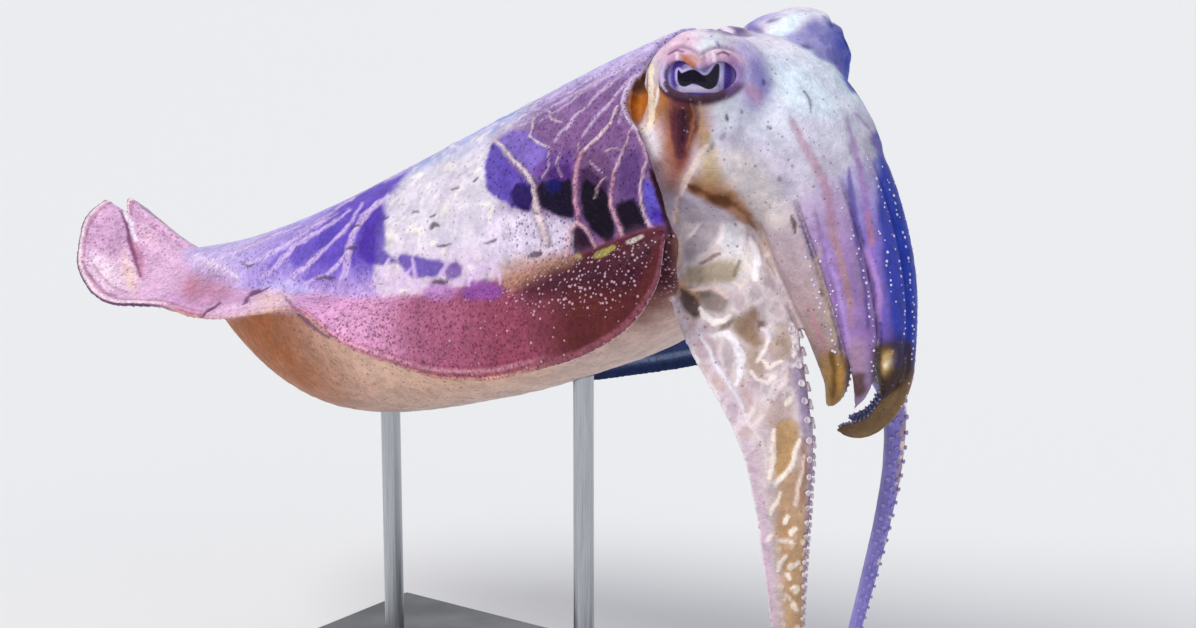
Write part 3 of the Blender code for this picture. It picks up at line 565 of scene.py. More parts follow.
def points_of(piece):
    flat = np.empty(len(piece.data.vertices) * 3)
    piece.data.vertices.foreach_get("co", flat)
    return flat.reshape(-1, 3) / MM


def edges_of(piece):
    flat = np.empty(len(piece.data.edges) * 2, int)
    piece.data.edges.foreach_get("vertices", flat)
    return flat.reshape(-1, 2)


def faces_of(piece):
    return [tuple(face.vertices) for face in piece.data.polygons]


def mantle_skin():
    angle = ring_angles(MANTLE_GRID[1])
    share = np.linspace(0, 1, MANTLE_GRID[0])
    stations = MANTLE_SPAN[0] + (MANTLE_SPAN[1] - MANTLE_SPAN[0]) * (0.35 * share + 0.65 * share**1.6)
    rings = [mantle_ring(along, angle) for along in stations]
    rings += [mantle_ring(along, angle, share, MANTLE_NOMINAL_FRONT) for share, along in MANTLE_LIP]
    tail = from_mantle(np.array(TAIL_END[0]), np.array(0.0), np.array(TAIL_END[1]))
    return loft(rings, [tail, rings[-1].mean(axis=0)])


def sheet(grid, thick):
    """Points and faces of a closed sheet round a grid of points."""
    normal = unit(np.cross(np.gradient(grid, axis=0), np.gradient(grid, axis=1)))
    half = thick[..., None] / 2
    rows, columns = grid.shape[:2]
    points = np.concatenate([(grid + normal * half).reshape(-1, 3), (grid - normal * half).reshape(-1, 3)])
    other = rows * columns
    faces = []
    for i in range(rows - 1):
        for j in range(columns - 1):
            a = i * columns + j
            around = (a, a + 1, a + columns + 1, a + columns)
            faces += [around, tuple(other + index for index in reversed(around))]
    border = [i * columns for i in range(rows)]
    border += [(rows - 1) * columns + j for j in range(1, columns)]
    border += [i * columns + columns - 1 for i in range(rows - 2, -1, -1)]
    border += list(range(columns - 2, 0, -1))
    faces += [(a, b, other + b, other + a) for a, b in zip(border, border[1:] + border[:1])]
    return points, faces


def fin_skin(grid):
    out = np.linspace(0, 1, FIN_GRID[1] + 1)[None, :]
    back = np.linspace(0, 1, FIN_GRID[0] + 1)[:, None]
    root = FIN_ROOT_THICK + (FIN_TAIL_THICK - FIN_ROOT_THICK) * np.clip((back - 0.55) / 0.2, 0, 1)
    return sheet(grid, FIN_SKIN_EDGE + (root - FIN_SKIN_EDGE) * (1 - out) ** 1.6)


def head_skin():
    """The head with its orbits and cheeks melted in."""
    angle = ring_angles(HEAD_GRID[1])
    rows = read_route(HEAD, np.linspace(0, 1, HEAD_GRID[0]), 2)
    rings = [path_ring(row, row[4], angle) for row in rows]
    last = rows[-1]
    lean = math.radians(last[4])
    onward = np.array((math.cos(lean), 0, math.sin(lean)))
    for share, step in HEAD_CROWN:
        rings.append(path_ring(last, last[4], angle, share=share) + onward * step)
    front = rings[-1].mean(axis=0) + onward * (HEAD_CROWN_TIP - HEAD_CROWN[-1][1])
    parts = [loft(rings, [rings[0].mean(axis=0), front])]
    parts.append(ball(front - onward * MOUTH_SUNK, np.full(3, MOUTH_RADIUS)))
    for side in (-1, 1):
        for place, size in ((ORBIT_PLACE, ORBIT_SIZE), (CHEEK_PLACE, CHEEK_SIZE)):
            parts.append(ball(head_place(place, side), np.array(size)))
    parts.append(ball(FRONT + BROW_KNOB[0], np.array(BROW_KNOB[1])))
    head = mesh_object("head_form", *joined(parts))
    melt(head, HEAD_BLEND_CELL, HEAD_BLEND_PASSES)
    finer = head.modifiers.new("finer", "SUBSURF")
    finer.levels = 1
    bake_modifiers(head)
    points, faces = points_of(head), faces_of(head)
    bpy.data.objects.remove(head)
    return points, faces


def funnel_skin():
    angle = ring_angles(FUNNEL_GRID[1])
    rows = read_route(FUNNEL, np.linspace(0, 1, FUNNEL_GRID[0]), 2)
    direction = unit(rows[-1, :2] - rows[-2, :2])
    nod = math.degrees(math.atan2(direction[1], direction[0]))
    rings = [path_ring(row, nod, angle, 2.0) for row in rows]
    onward = np.array((direction[0], 0, direction[1]))
    for share, step in FUNNEL_MOUTH:
        rings.append(path_ring(rows[-1], nod, angle, 2.0, share) + onward * step)
    return loft(rings, [rings[0].mean(axis=0), rings[-1].mean(axis=0)])


def soften_seam(piece, owner, some, others):
    """Rounds off the skin where the forms of one set start on those of another."""
    here = [spread(piece, np.isin(owner, forms).astype(float), SEAM_PASSES[0]) for forms in (some, others)]
    weight = np.clip(5 * here[0] * here[1], 0, 1)
    edges = edges_of(piece)
    edges = edges[(weight[edges] > 0.003).any(axis=1)]
    used, edges = np.unique(edges, return_inverse=True)
    a, b = edges.reshape(-1, 2).T
    count = np.bincount(a, minlength=len(used)) + np.bincount(b, minlength=len(used))
    places = points_of(piece)
    moved, share = places[used], 0.5 * weight[used]
    for _ in range(SEAM_PASSES[1]):
        for axis in range(3):
            value = moved[:, axis]
            total = np.bincount(a, value[b], len(used)) + np.bincount(b, value[a], len(used))
            moved[:, axis] = value + (total / count - value) * share
    places[used] = moved
    piece.data.vertices.foreach_set("co", (places * MM).ravel())
    piece.data.update()


def upper_arm_rings(number, side):
    shares = np.linspace(ARM_ROOT - ARM_ROOT_SUNK, ARM_END[side][number], ARM_GRID[0])
    return np.array([arm_ring(number, side, share, arm_shrink(number, side, share)) for share in shares])


def web_skin(side):
    """The thin web that joins the third and the lowest arm near their roots."""
    shares = np.linspace(0, 1, WEB_STEPS)
    fourth = np.array([fourth_ring(side, share)[0] for share in shares])
    thirds = np.array([arm_ring(3, side, share)[6] for share in shares])
    angle = ring_angles(WEB_GRID[1])
    rings = []
    for level in np.linspace(*WEB_LEVELS, WEB_GRID[0]):
        front = thirds[np.abs(thirds[:, 2] - FRONT[2] - level).argmin()]
        rear = fourth[np.abs(fourth[:, 2] - FRONT[2] - level).argmin()]
        run = front - rear
        half = np.linalg.norm(run) / 2 + WEB_REACH
        along = unit(run)
        thick = unit(np.cross(along, (0, 0, 1)))
        wide, deep = (way(angle)[:, None] for way in (np.cos, np.sin))
        rings.append((front + rear) / 2 + wide * half * along + deep * WEB_THICK * thick)
    return loft(rings, [rings[0].mean(axis=0), rings[-1].mean(axis=0)])


def opening_outline():
    """The edge between the lids, toward the tail and upward. Its upper side hangs in the middle."""
    angle = ring_angles(80)
    across = np.cos(angle)
    high = np.sin(angle) * EYE_OPENING[1]
    high = np.where(high > 0, high - LID_DROOP * np.exp(-((across / LID_LOBE) ** 2)), high * LOWER_LID)
    return np.stack([across * EYE_OPENING[0], high], -1)


def opening(side):
    """The space between the lids."""
    look, level, rise = eye_axes(side)
    flat = opening_outline()
    outline = flat[:, :1] * level + flat[:, 1:] * rise
    centre = head_place(EYE_PLACE, side)
    rings = [centre + look * depth + outline for depth in OPENING_DEPTHS]
    return loft(rings, [ring.mean(axis=0) for ring in rings])


def carve(piece, parts):
    """Cuts closed forms from the skin. The exact solver loses these meshes."""
    for some in parts:
        cutter = mesh_object("cutter", *some)
        cut = piece.modifiers.new("cut", "BOOLEAN")
        cut.operation = "DIFFERENCE"
        cut.solver = "MANIFOLD"
        cut.object = cutter
        bake_modifiers(piece)
        bpy.data.objects.remove(cutter)


def make_skin():
    """The whole skin as one piece, with the grids that it was made from and the fins' widths along them."""
    angle = ring_angles(MANTLE_GRID[1])
    stations = np.linspace(*MANTLE_SPAN, GRID_STATIONS)
    grids = [(np.array([mantle_ring(along, angle) for along in stations]), True)]
    parts = [mantle_skin()]
    widths = {}
    for number, (rows, side) in enumerate(((FIN_RIGHT, -1), (FIN_LEFT, 1)), 1):
        grid = fin_grid(rows, side, FIN_GRID)
        grids.append((grid, False))
        widths[number] = np.linalg.norm(np.diff(grid, axis=1), axis=2).sum(axis=1)
        parts.append(fin_skin(grid))
    head = head_skin()
    funnel = funnel_skin()
    parts += [head, funnel]
    grids += [(head[0][None], False), (funnel[0][None], False)]
    for side in (-1, 1):
        for number in ARM_TURN:
            rings = upper_arm_rings(number, side)
            tip = rings[-1].mean(axis=0)
            parts.append(loft(rings, [rings[0].mean(axis=0), tip + (tip - rings[-2].mean(axis=0)) * 2]))
            grids.append((rings, True))
        rings = np.array([fourth_ring(side, share) for share in np.linspace(0, 1, FOURTH_GRID[0])])
        parts.append(loft(rings, [rings[0].mean(axis=0), rings[-1].mean(axis=0) - np.array((0, 0, 2.0))]))
        grids.append((rings, True))
    for side in (-1, 1):
        lid = ball(head_place(EYE_PLACE, side), np.full(3, EYE_RADIUS + GAP + LID_THICK))
        parts.append(lid)
        grids.append((lid[0][None], False))
        parts.append(web_skin(side))
    skin = mesh_object("skin", *joined(parts))
    melt(skin, VOXEL, SKIN_PASSES)
    hollows = []
    for side in (-1, 1):
        hollows.append(ball(head_place(EYE_PLACE, side), np.full(3, EYE_RADIUS + EYE_PLAY), EYE_HOLLOW_GRID))
        hollows.append(opening(side))
    carve(skin, hollows)
    skin.data.shade_smooth()
    return skin, grids, widths


# Eye: rings round its line of sight, and the pupil's outline as places toward the tail and upward of it
EYE_GRID = (105, 26, 260)  # finer steps from the line of sight, coarser steps behind them, points round each
EYE_FINE_TURN = 58.0  # degrees from the line of sight that the finer steps reach
PUPIL = (
    (5.6, 1.1), (4.7, 0.4), (3.7, 0.7), (2.6, 1.1), (1.4, 1.2), (0.3, 0.7), (-0.9, -0.1), (-2.0, 0.0),
    (-3.0, 1.1), (-3.8, 2.5), (-4.6, 2.8), (-4.9, 1.4), (-4.8, -0.8), (-4.2, -2.6), (-3.0, -3.5),
    (-1.8, -3.5), (-0.6, -3.0), (0.6, -2.5), (1.8, -2.3), (2.8, -2.7), (3.8, -3.0), (4.9, -2.6), (5.6, -1.2),
)
PUPIL_EDGE = 0.12
PUPIL_RIM = ("cfc8ee", (0.05, 0.2), (0.5, 0.95))  # colour, where it comes in and where it goes out
PUPIL_RIM_STRENGTH = (-1.2, 0.75, 0.5)  # height at which its strength changes, strength above and below it
EYE_BASE = "8d80b8"
RINGS_MIDDLE = -0.2  # toward the tail
RINGS_FLATTER = 1.15
IRIS = ("5a46a6", (4.6, 5.8), (7.2, 8.4))
IRIS_STREAKS = ("2a1550", (4.8, 5.8), (7.0, 8.0))
STREAK_COUNT = 46
STREAK_SWAY = (2.2, 3.1)  # how far the streaks sway, and how quickly outward
STREAK_STRENGTH = 0.55
OUTER = ("b9aee4", (7.6, 8.6))
CRESCENT = ("cdc3dc", (2.4, 3.2), (4.1, 4.7))  # below the pupil, by the depth under the line of sight
CRESCENT_MIDDLE = 0.3
CRESCENT_SIDES = (4.6, 6.6)
BAND = ("c9c6e6", (-4.0, -3.0), (3.0, 4.5))  # upright band at the front of the pupil, by height
BAND_PLACE = -5.6
BAND_SIDES = (0.2, 0.7)
BAND_STRENGTH = 0.7
GLINTS = ((6.2, 5.0, 0.4), (-3.5, 3.6, 0.3))  # painted highlights on the eye: toward the tail, upward, radius
GLINT_COLOUR = "fbfaff"
GLINT_SOFT = 0.5
PUPIL_COLOUR = "020104"
FAR_AWAY = 1e9
TINY = 1e-12


def hue(code):
    """A colour as the screen shows it, turned into the linear values that a material takes."""
    screen = np.array([int(code[i : i + 2], 16) for i in (0, 2, 4)]) / 255
    return np.where(screen <= 0.04045, screen / 12.92, ((screen + 0.055) / 1.055) ** 2.4)


def smooth(value, low, high):
    """0 at low and 1 at high, with a soft start and end."""
    share = np.clip((value - low) / (high - low), 0, 1)
    return share * share * (3 - 2 * share)


def between(value, start=None, stop=None):
    """Soft share that comes in between the first pair of values and goes out between the second pair."""
    share = np.ones(len(value))
    if start:
        share = smooth(value, *start)
    if stop:
        share = share * (1 - smooth(value, *stop))
    return share


def mixed(colour, other, share):
    return colour + (other - colour) * share[..., None]


def closed_curve(points, steps):
    """A smooth closed curve through the points."""
    points = np.asarray(points, float)
    before, after, beyond = np.roll(points, 1, 0), np.roll(points, -1, 0), np.roll(points, -2, 0)
    t = (np.arange(steps) / steps)[None, :, None]
    p, a, b, c = (value[:, None] for value in (before, points, after, beyond))
    curve = a + 0.5 * t * (b - p + t * (2 * p - 5 * a + 4 * b - c + t * (3 * (a - b) + c - p)))
    return curve.reshape(-1, points.shape[1])


def outside(places, outline):
    """Distance of flat places from a closed outline, negative inside it."""
    near = np.full(len(places), FAR_AWAY)
    inside = np.zeros(len(places), bool)
    for start, stop in zip(outline, np.roll(outline, -1, 0)):
        run = stop - start
        offset = places - start
        share = np.clip(offset @ run / max(run @ run, TINY), 0, 1)
        near = np.minimum(near, np.linalg.norm(offset - share[:, None] * run, axis=1))
        crosses = (start[1] > places[:, 1]) != (stop[1] > places[:, 1])
        rise = np.where(abs(run[1]) > TINY, run[1], TINY)
        inside ^= crosses & (places[:, 0] < start[0] + (places[:, 1] - start[1]) * run[0] / rise)
    return np.where(inside, -near, near)


def eye_colours(back, high):
    """Colours over an eyeball at places toward the tail and upward of its line of sight."""
    across = np.hypot(back - RINGS_MIDDLE, high * RINGS_FLATTER)
    colour = np.tile(hue(EYE_BASE), (len(back), 1))
    colour = mixed(colour, hue(IRIS[0]), between(across, *IRIS[1:]))
    sway, quick = STREAK_SWAY
    streaks = 0.5 + 0.5 * np.sin(np.arctan2(high, back) * STREAK_COUNT + sway * np.sin(across * quick))
    streaks = STREAK_STRENGTH * streaks**2 * between(across, *IRIS_STREAKS[1:])
    colour = mixed(colour, hue(IRIS_STREAKS[0]), streaks)
    colour = mixed(colour, hue(OUTER[0]), smooth(across, *OUTER[1]))
    sides = 1 - smooth(np.abs(back - CRESCENT_MIDDLE), *CRESCENT_SIDES)
    colour = mixed(colour, hue(CRESCENT[0]), between(-high, *CRESCENT[1:]) * sides)
    sides = 1 - smooth(np.abs(back - BAND_PLACE), *BAND_SIDES)
    colour = mixed(colour, hue(BAND[0]), BAND_STRENGTH * (sides * between(high, *BAND[1:])))
    edge = outside(np.stack([back, high], -1), closed_curve(PUPIL, 6))
    level, above, below = PUPIL_RIM_STRENGTH
    rim = between(edge, *PUPIL_RIM[1:]) * np.where(high > level, above, below)
    colour = mixed(colour, hue(PUPIL_RIM[0]), rim)
    # painted highlights on the eyeball
    for across, up, radius in GLINTS:
        glint = np.hypot(back - across, high - up) - radius
        colour = mixed(colour, hue(GLINT_COLOUR), 1 - smooth(glint, 0, GLINT_SOFT))
    black = 1 - smooth(edge, -PUPIL_EDGE, PUPIL_EDGE)
    return mixed(colour, hue(PUPIL_COLOUR), black)


def make_eye(side):
    look, level, rise = eye_axes(side)
    fine = np.linspace(0, math.radians(EYE_FINE_TURN), EYE_GRID[0] + 1)[1:]
    coarse = np.linspace(fine[-1], math.pi, EYE_GRID[1] + 1)[1:-1]
    turn = ring_angles(EYE_GRID[2])
    around = np.cos(turn)[:, None] * level + np.sin(turn)[:, None] * rise
    rings = [math.cos(fall) * look + math.sin(fall) * around for fall in (*fine, *coarse)]
    points, faces = loft(rings, [look, -look])
    name = "eyeball_" + ("left" if side > 0 else "right")
    eye = mesh_object(name, head_place(EYE_PLACE, side) + points * EYE_RADIUS, faces)
    colours = eye_colours(points @ level * EYE_RADIUS, points @ rise * EYE_RADIUS)
    add_colour(eye, "tint", colours)
    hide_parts("eye_" + ("left" if side > 0 else "right"))
    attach(eye, "root")
    return eye


def add_colour(piece, name, colours):
    layer = piece.data.color_attributes.new(name, "FLOAT_COLOR", "POINT")
    layer.data.foreach_set("color", np.concatenate([colours, np.ones((len(colours), 1))], axis=1).ravel())


def add_value(piece, name, values):
    layer = piece.data.attributes.new(name, "FLOAT", "POINT")
    layer.data.foreach_set("value", np.asarray(values, float))


# Suckers: profile of one cup as shares of its radius, from its root up to the rim and down inside
CUP = (
    (0.62, -0.5), (0.6, 0.05), (0.8, 0.35), (1.0, 0.62), (1.0, 0.82), (0.86, 0.92), (0.66, 0.8), (0.44, 0.55),
)
CUP_FLOOR = 0.42
CUP_SIDES = 11
UPPER_CUPS = 26  # rows along each upper arm
UPPER_CUP_START = 0.17
UPPER_CUP_SIZE = 0.095  # radius as a share of the hollow's
FOURTH_CUPS = 36
FOURTH_CUP_START = 0.3
FOURTH_CUP_SIZE = 0.2  # radius as a share of the arm's half thickness
FOURTH_CUP_TURNS = (-34.0, -11.0, 11.0, 34.0)  # degrees round the arm's edge from its middle
UPPER_CUP_PLACES = (-0.37, -0.13, 0.13, 0.37)  # across the face turned to the middle, as shares of its width
CUP_STAGGER = (0.012, 0.008)  # shares of the upper and lowest arms' length by which every other column moves
CUP_LEAST = 0.3  # radius of the smallest
OUTER_SPOTS = [spot for spot, _ in ARM_OUTLINE[:7]]  # places across an upper arm's outer face
BEAD = ((0.8, -0.5), (1.0, 0.0), (0.94, 0.25), (0.72, 0.48), (0.38, 0.6))  # profile of one bead
BEAD_STEP = 1.25  # distance between beads in a row
BEAD_RADIUS = 0.42
BEAD_WANDER = 0.24  # how far a bead strays across the arm's outer face
BEAD_LEAN = 0.8  # how much the beads near an edge lean outward
BEAD_GAPS = 0.25  # share of the beads that are missing
BEAD_ROWS = {  # arm, place across its outer face from the front edge at -1, shares of its length
    -1: (
        (3, -0.72, 0.42, 0.8),
        (2, -0.7, 0.25, 0.9),
        (2, 0.78, 0.4, 0.7),
        (1, -0.62, 0.2, 0.85),
        (1, 0.1, 0.45, 0.72),
    ),
    1: (
        (1, -0.62, 0.2, 0.85),
        (1, 0.2, 0.25, 0.8),
        (2, -0.7, 0.2, 0.85),
        (3, -0.72, 0.3, 0.8),
    ),
}


def cup_shares(start, count):
    """Shares of an arm's length, closer together toward the tip."""
    steps = np.linspace(1.4, 0.6, count)
    return start + (0.985 - start) * (np.cumsum(steps) - steps[0]) / (steps.sum() - steps[0])


def upper_cup(number, side, share, place, shrink):
    """Where one sucker of an upper arm sits, on the face turned to the middle of the bundle."""
    _, deep, wide, outward = bundle_frame(share)
    ring = arm_ring(number, side, share, shrink)
    left, middle, right = ring[8], ring[9], ring[10]
    radius = max(CUP_LEAST, BUNDLE_HOLLOW * min(deep, wide) * UPPER_CUP_SIZE * shrink)
    turn = math.radians(ARM_TURN[number])
    off = -(math.cos(turn) * outward + np.array((0, side * math.sin(turn), 0)))
    return middle + (left - right) * place, off, left - right, radius


def fourth_cup(side, share, turn):
    """Where one sucker of the lowest arm sits, on its thick edge."""
    centre, facing, thick_way, size = fourth_frame(side, share)
    angle = math.radians(turn)
    place = centre + facing * size[0] * math.cos(angle) + thick_way * size[1] * math.sin(angle)
    off = facing * math.cos(angle) / size[0] + thick_way * math.sin(angle) / size[1]
    flip = np.array((1, side, 1))
    radius = max(CUP_LEAST, size[1] * FOURTH_CUP_SIZE)
    return FRONT + place * flip, off * flip, np.cross(facing, thick_way) * flip, radius


def cups_mesh(seats, profile=CUP, floor=CUP_FLOOR):
    """Points and faces of cups. Each seat is a place, a way off the skin, one across it and a radius."""
    turn = ring_angles(CUP_SIDES)
    parts = []
    for place, off, across, radius in seats:
        off = unit(off)
        across = unit(across - off * np.dot(across, off))
        circle = np.cos(turn)[:, None] * across + np.sin(turn)[:, None] * np.cross(off, across)
        rings = [place + radius * (wide * circle + high * off) for wide, high in profile]
        parts.append(loft(rings, [place + off * radius * profile[0][1], place + off * radius * floor]))
    return joined(parts)


def bead_seats(side):
    """Pale domes in rows along the upper arms' edges."""
    seats = []
    for number, across, start, stop in BEAD_ROWS[side]:
        end = ARM_END[side][number]
        length = route_length(BUNDLE, 2) * (stop - start) * end
        steps = np.linspace(start, stop, int(length / BEAD_STEP)) * end
        for index, share in enumerate(steps):
            luck = [scatter(np.array((index, number, side)), seed) for seed in (11, 17, 23)]
            if luck[1] < BEAD_GAPS:
                continue
            share = share + (luck[2] - 0.5) * (steps[1] - steps[0])
            ring = arm_ring(number, side, share, arm_shrink(number, side, share))
            chance = scatter(np.array((index, number, side)), 5 + round(10 * across))
            wander = across + BEAD_WANDER * (chance - 0.5)
            place = [np.interp(wander, OUTER_SPOTS, value) for value in ring[: len(OUTER_SPOTS)].T]
            off = unit(ring[3] - ring[9]) + BEAD_LEAN * across * unit(ring[4] - ring[2])
            radius = BEAD_RADIUS * (0.4 + 0.6 * luck[0])
            seats.append((np.array(place), off, ring[4] - ring[2], radius))
    return seats


def make_beads(side):
    word = "left" if side > 0 else "right"
    beads = mesh_object("beads_" + word, *cups_mesh(bead_seats(side), BEAD, 0.62))
    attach(beads, "root")
    return beads


def make_cups(side):
    word = "left" if side > 0 else "right"
    seats = []
    for number in ARM_TURN:
        for share in cup_shares(UPPER_CUP_START, UPPER_CUPS) * ARM_END[side][number]:
            for column, place in enumerate(UPPER_CUP_PLACES):
                moved = share + (column % 2) * CUP_STAGGER[0]
                seats.append(upper_cup(number, side, moved, place, arm_shrink(number, side, moved)))
    for share in cup_shares(FOURTH_CUP_START, FOURTH_CUPS):
        for column, turn in enumerate(FOURTH_CUP_TURNS):
            seats.append(fourth_cup(side, min(share + (column % 2) * CUP_STAGGER[1], 0.99), turn))
    cups = mesh_object("suckers_" + word, *cups_mesh(seats))
    # the left suckers' violet is painted shade; the right ones' white-lilac is their own colour
    add_colour(cups, "tint", np.tile(hue("aca6de" if side > 0 else "efe6ea"), (len(cups.data.vertices), 1)))
    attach(cups, "root")
    return cups


# Camera: degrees round the object and above it, distance, focal length in picture widths, point looked at
PICTURE = (1196, 628)  # width and height of the photograph's picture in pixels
VIEW_ROUND = 36.0
VIEW_UP = 12.0
VIEW_FAR = 620.0
VIEW_FOCAL = 2250 / PICTURE[0]
VIEW_AT = (39.24, -16.6, 138.58)
SENSOR = 36.0  # width of the camera's picture on its sensor
CLIP_START = 0.01  # metres


def make_camera():
    turn, lift = math.radians(VIEW_ROUND), math.radians(VIEW_UP)
    back = Vector((math.sin(turn) * math.cos(lift), -math.cos(turn) * math.cos(lift), math.sin(lift)))
    camera = bpy.data.objects.new("camera", bpy.data.cameras.new("camera"))
    camera.data.sensor_width = SENSOR
    camera.data.lens = SENSOR * VIEW_FOCAL
    camera.data.clip_start = CLIP_START
    camera.location = (Vector(VIEW_AT) + back * VIEW_FAR) * MM
    camera.rotation_euler = back.to_track_quat("Z", "Y").to_euler()
    bpy.context.scene.collection.objects.link(camera)
    bpy.context.scene.camera = camera


CELL_FACTORS = (73856093, 19349663, 83492791)  # large odd numbers, which keep neighbouring cells apart
SEED_FACTOR = 668265263
STIRS = ((13, 1274126177), (15, 461845907))  # bits to shift by, and factor
LAST_SHIFT = 16
SHARE_BITS = 0xFFFFFF


def scatter(cells, seed):
    """A fixed pseudo-random share between 0 and 1 for each whole-numbered cell."""
    cells = cells.astype(np.int64)
    value = seed * SEED_FACTOR
    for way, factor in enumerate(CELL_FACTORS):
        value = value ^ cells[..., way] * factor
    for shift, factor in STIRS:
        value = (value ^ (value >> shift)) * factor
    return ((value ^ (value >> LAST_SHIFT)) & SHARE_BITS) / SHARE_BITS


def cloud(places, size, seed, octaves=1):
    """Smooth noise between -1 and 1, of the given grain."""
    total, strength, whole = 0, 1.0, 0.0
    for octave in range(octaves):
        scaled = places / size * 2**octave
        cell = np.floor(scaled)
        inner = scaled - cell
        inner = inner * inner * (3 - 2 * inner)
        value = 0
        for corner in np.ndindex(2, 2, 2):
            weight = np.prod(np.where(corner, inner, 1 - inner), axis=-1)
            value = value + weight * scatter(cell + corner, seed + octave)
        total = total + strength * (2 * value - 1)
        whole += strength
        strength *= 0.5
    return total / whole


def cells_of(places, size, seed):
    """Distances to the two nearest of scattered points, in their spacing, and the nearest's own share."""
    scaled = places / size
    home = np.floor(scaled)
    first = np.full(len(places), 9.0)
    second = first.copy()
    number = np.zeros(len(places))
    for step in np.ndindex(3, 3, 3):
        cell = home + np.array(step) - 1
        point = cell + np.stack([scatter(cell, seed + way) for way in range(3)], -1)
        far = np.linalg.norm(point - scaled, axis=1)
        nearer = far < first
        second = np.where(nearer, first, np.minimum(second, far))
        number = np.where(nearer, scatter(cell, seed + 7), number)
        first = np.where(nearer, far, first)
    return first, second, number


# Marks: pixel places in the photograph's picture, seen from the camera. A place on a line has half the line's
# width in pixels as its third number. A patch has the softness of its edge in pixels before its outline

STREAKS = (  # pale lines on the rear of the mantle
    ((243, 266, 1.4), (262, 258, 2.0), (280, 248, 2.0), (297, 238, 1.8), (316, 226, 1.4), (338, 213, 1.0)),
    (
        (262, 278, 2.0), (275, 268, 2.4), (284, 257, 2.4), (294, 246, 2.2), (308, 238, 1.8),
        (330, 225, 1.4), (350, 210, 1.0),
    ),
    (
        (283, 286, 2.0), (300, 272, 2.2), (316, 257, 2.2), (328, 246, 2.0), (342, 233, 1.8),
        (354, 219, 1.6), (363, 203, 1.2),
    ),
    ((305, 284, 1.8), (326, 275, 2.2), (339, 264, 2.2), (348, 252, 1.6)),
    (
        (338, 286, 2.0), (346, 272, 3.2), (348, 258, 3.4), (349, 246, 3.0), (355, 232, 3.0),
        (363, 218, 3.0), (374, 206, 2.6), (388, 196, 2.0),
    ),
    ((372, 287, 1.6), (380, 273, 2.4), (389, 260, 1.6)),
    ((394, 292, 1.6), (404, 279, 2.2), (409, 268, 1.2)),
    ((412, 258, 1.6), (414, 270, 2.6), (418, 286, 2.2)),
    ((436, 284, 1.6), (443, 270, 2.4), (449, 260, 1.4)),
    ((205, 262, 1.0), (225, 256, 1.2), (250, 247, 1.2), (275, 236, 1.0), (300, 226, 0.8)),
    ((300, 232, 1.0), (325, 217, 1.2), (348, 201, 1.0), (362, 192, 0.8)),
    ((468, 286, 1.2), (474, 272, 1.8), (486, 264, 1.8), (497, 270, 1.6), (500, 284, 1.4)),
)
VEIN_PARTS = ((1.15, 0.8), (0.72, 0.0), (0.25, 0.0))  # painted shadow, body, painted highlight: share of the width, shift
VEINS = (  # pale veins behind the head: colour, places
    ("e4d6de", (
        (494, 138, 1.4), (503, 147, 2.0), (512, 158, 2.2), (522, 167, 2.4), (530, 178, 2.8),
        (534, 188, 3.2),
    )),
    ("d6c4c4", ((533, 186, 3.0), (536, 204, 4.6), (540, 222, 5.0), (546, 243, 4.6))),
    ("e0cfd8", ((534, 118, 1.0), (532, 128, 1.4), (530, 136, 1.6), (538, 142, 1.6), (549, 147, 1.2))),
    ("e0cfd8", ((549, 110, 0.9), (552, 119, 1.2), (561, 122, 1.2))),
    ("a694bc", ((549, 150, 0.8), (548, 165, 1.0), (543, 178, 0.9))),
    ("dcc2ca", ((618, 106, 1.2), (611, 122, 1.6), (600, 135, 2.2), (590, 144, 2.6), (581, 153, 2.8))),
    ("b06c8a", (
        (581, 153, 2.8), (577, 166, 2.8), (575, 182, 2.8), (575, 198, 3.0), (577, 212, 3.2),
        (578, 222, 2.8),
    )),
    ("dca6aa", ((577, 223, 2.6), (570, 230, 2.0), (568, 243, 2.2), (566, 258, 2.4))),
    ("dca6aa", ((578, 223, 2.6), (587, 230, 2.0), (592, 240, 2.0), (596, 252, 1.6))),
    ("cdb0d8", ((646, 222, 1.2), (652, 228, 1.6), (660, 231, 1.2))),
    ("b98f9c", ((577, 150, 1.2), (578, 142, 0.8))),
    ("bd9ab2", ((632, 128, 1.0), (626, 142, 1.4), (619, 158, 1.8), (614, 174, 2.0))),
    ("c68c9c", ((614, 174, 2.0), (611, 190, 2.4), (611, 205, 2.6), (616, 219, 2.6), (623, 236, 2.0))),
    ("d2b2c8", (
        (637, 133, 1.4), (643, 147, 1.8), (648, 160, 1.8), (643, 172, 1.6), (640, 186, 1.8),
        (641, 202, 2.0), (646, 218, 2.0), (655, 233, 1.6),
    )),
    ("b98a9c", ((604, 178, 0.8), (597, 188, 1.0), (594, 198, 0.8))),
    ("b79cb4", ((622, 150, 0.8), (612, 148, 1.0), (604, 152, 0.8))),
    ("a98ab0", ((560, 152, 0.8), (556, 164, 1.0), (560, 176, 0.8))),
    ("a98ab0", ((590, 160, 0.8), (596, 168, 1.0), (602, 172, 0.7))),
)
STRIAE = (  # thin pale lines that run from the back's front edge toward the tail
    ((668, 36, 1.0), (620, 66, 1.4), (580, 92, 1.4), (545, 110, 1.0), (520, 126, 0.8)),
    ((668, 44, 1.0), (632, 66, 1.4), (600, 92, 1.6), (576, 116, 1.6), (560, 134, 1.4), (555, 142, 1.0)),
    ((662, 52, 1.0), (640, 70, 1.4), (615, 96, 1.5), (596, 118, 1.4), (582, 136, 1.0)),
    ((655, 60, 1.0), (636, 80, 1.4), (624, 102, 1.4), (619, 122, 1.0)),
    ((640, 58, 0.9), (600, 82, 1.1), (565, 105, 1.0), (540, 122, 0.7)),
    ((600, 74, 0.8), (565, 94, 0.9), (530, 112, 0.8), (500, 130, 0.6)),
    ((560, 92, 0.8), (520, 112, 0.9), (480, 135, 0.9), (450, 152, 0.7)),
    ((500, 122, 0.8), (460, 142, 0.9), (420, 162, 0.9), (385, 182, 0.8)),
)

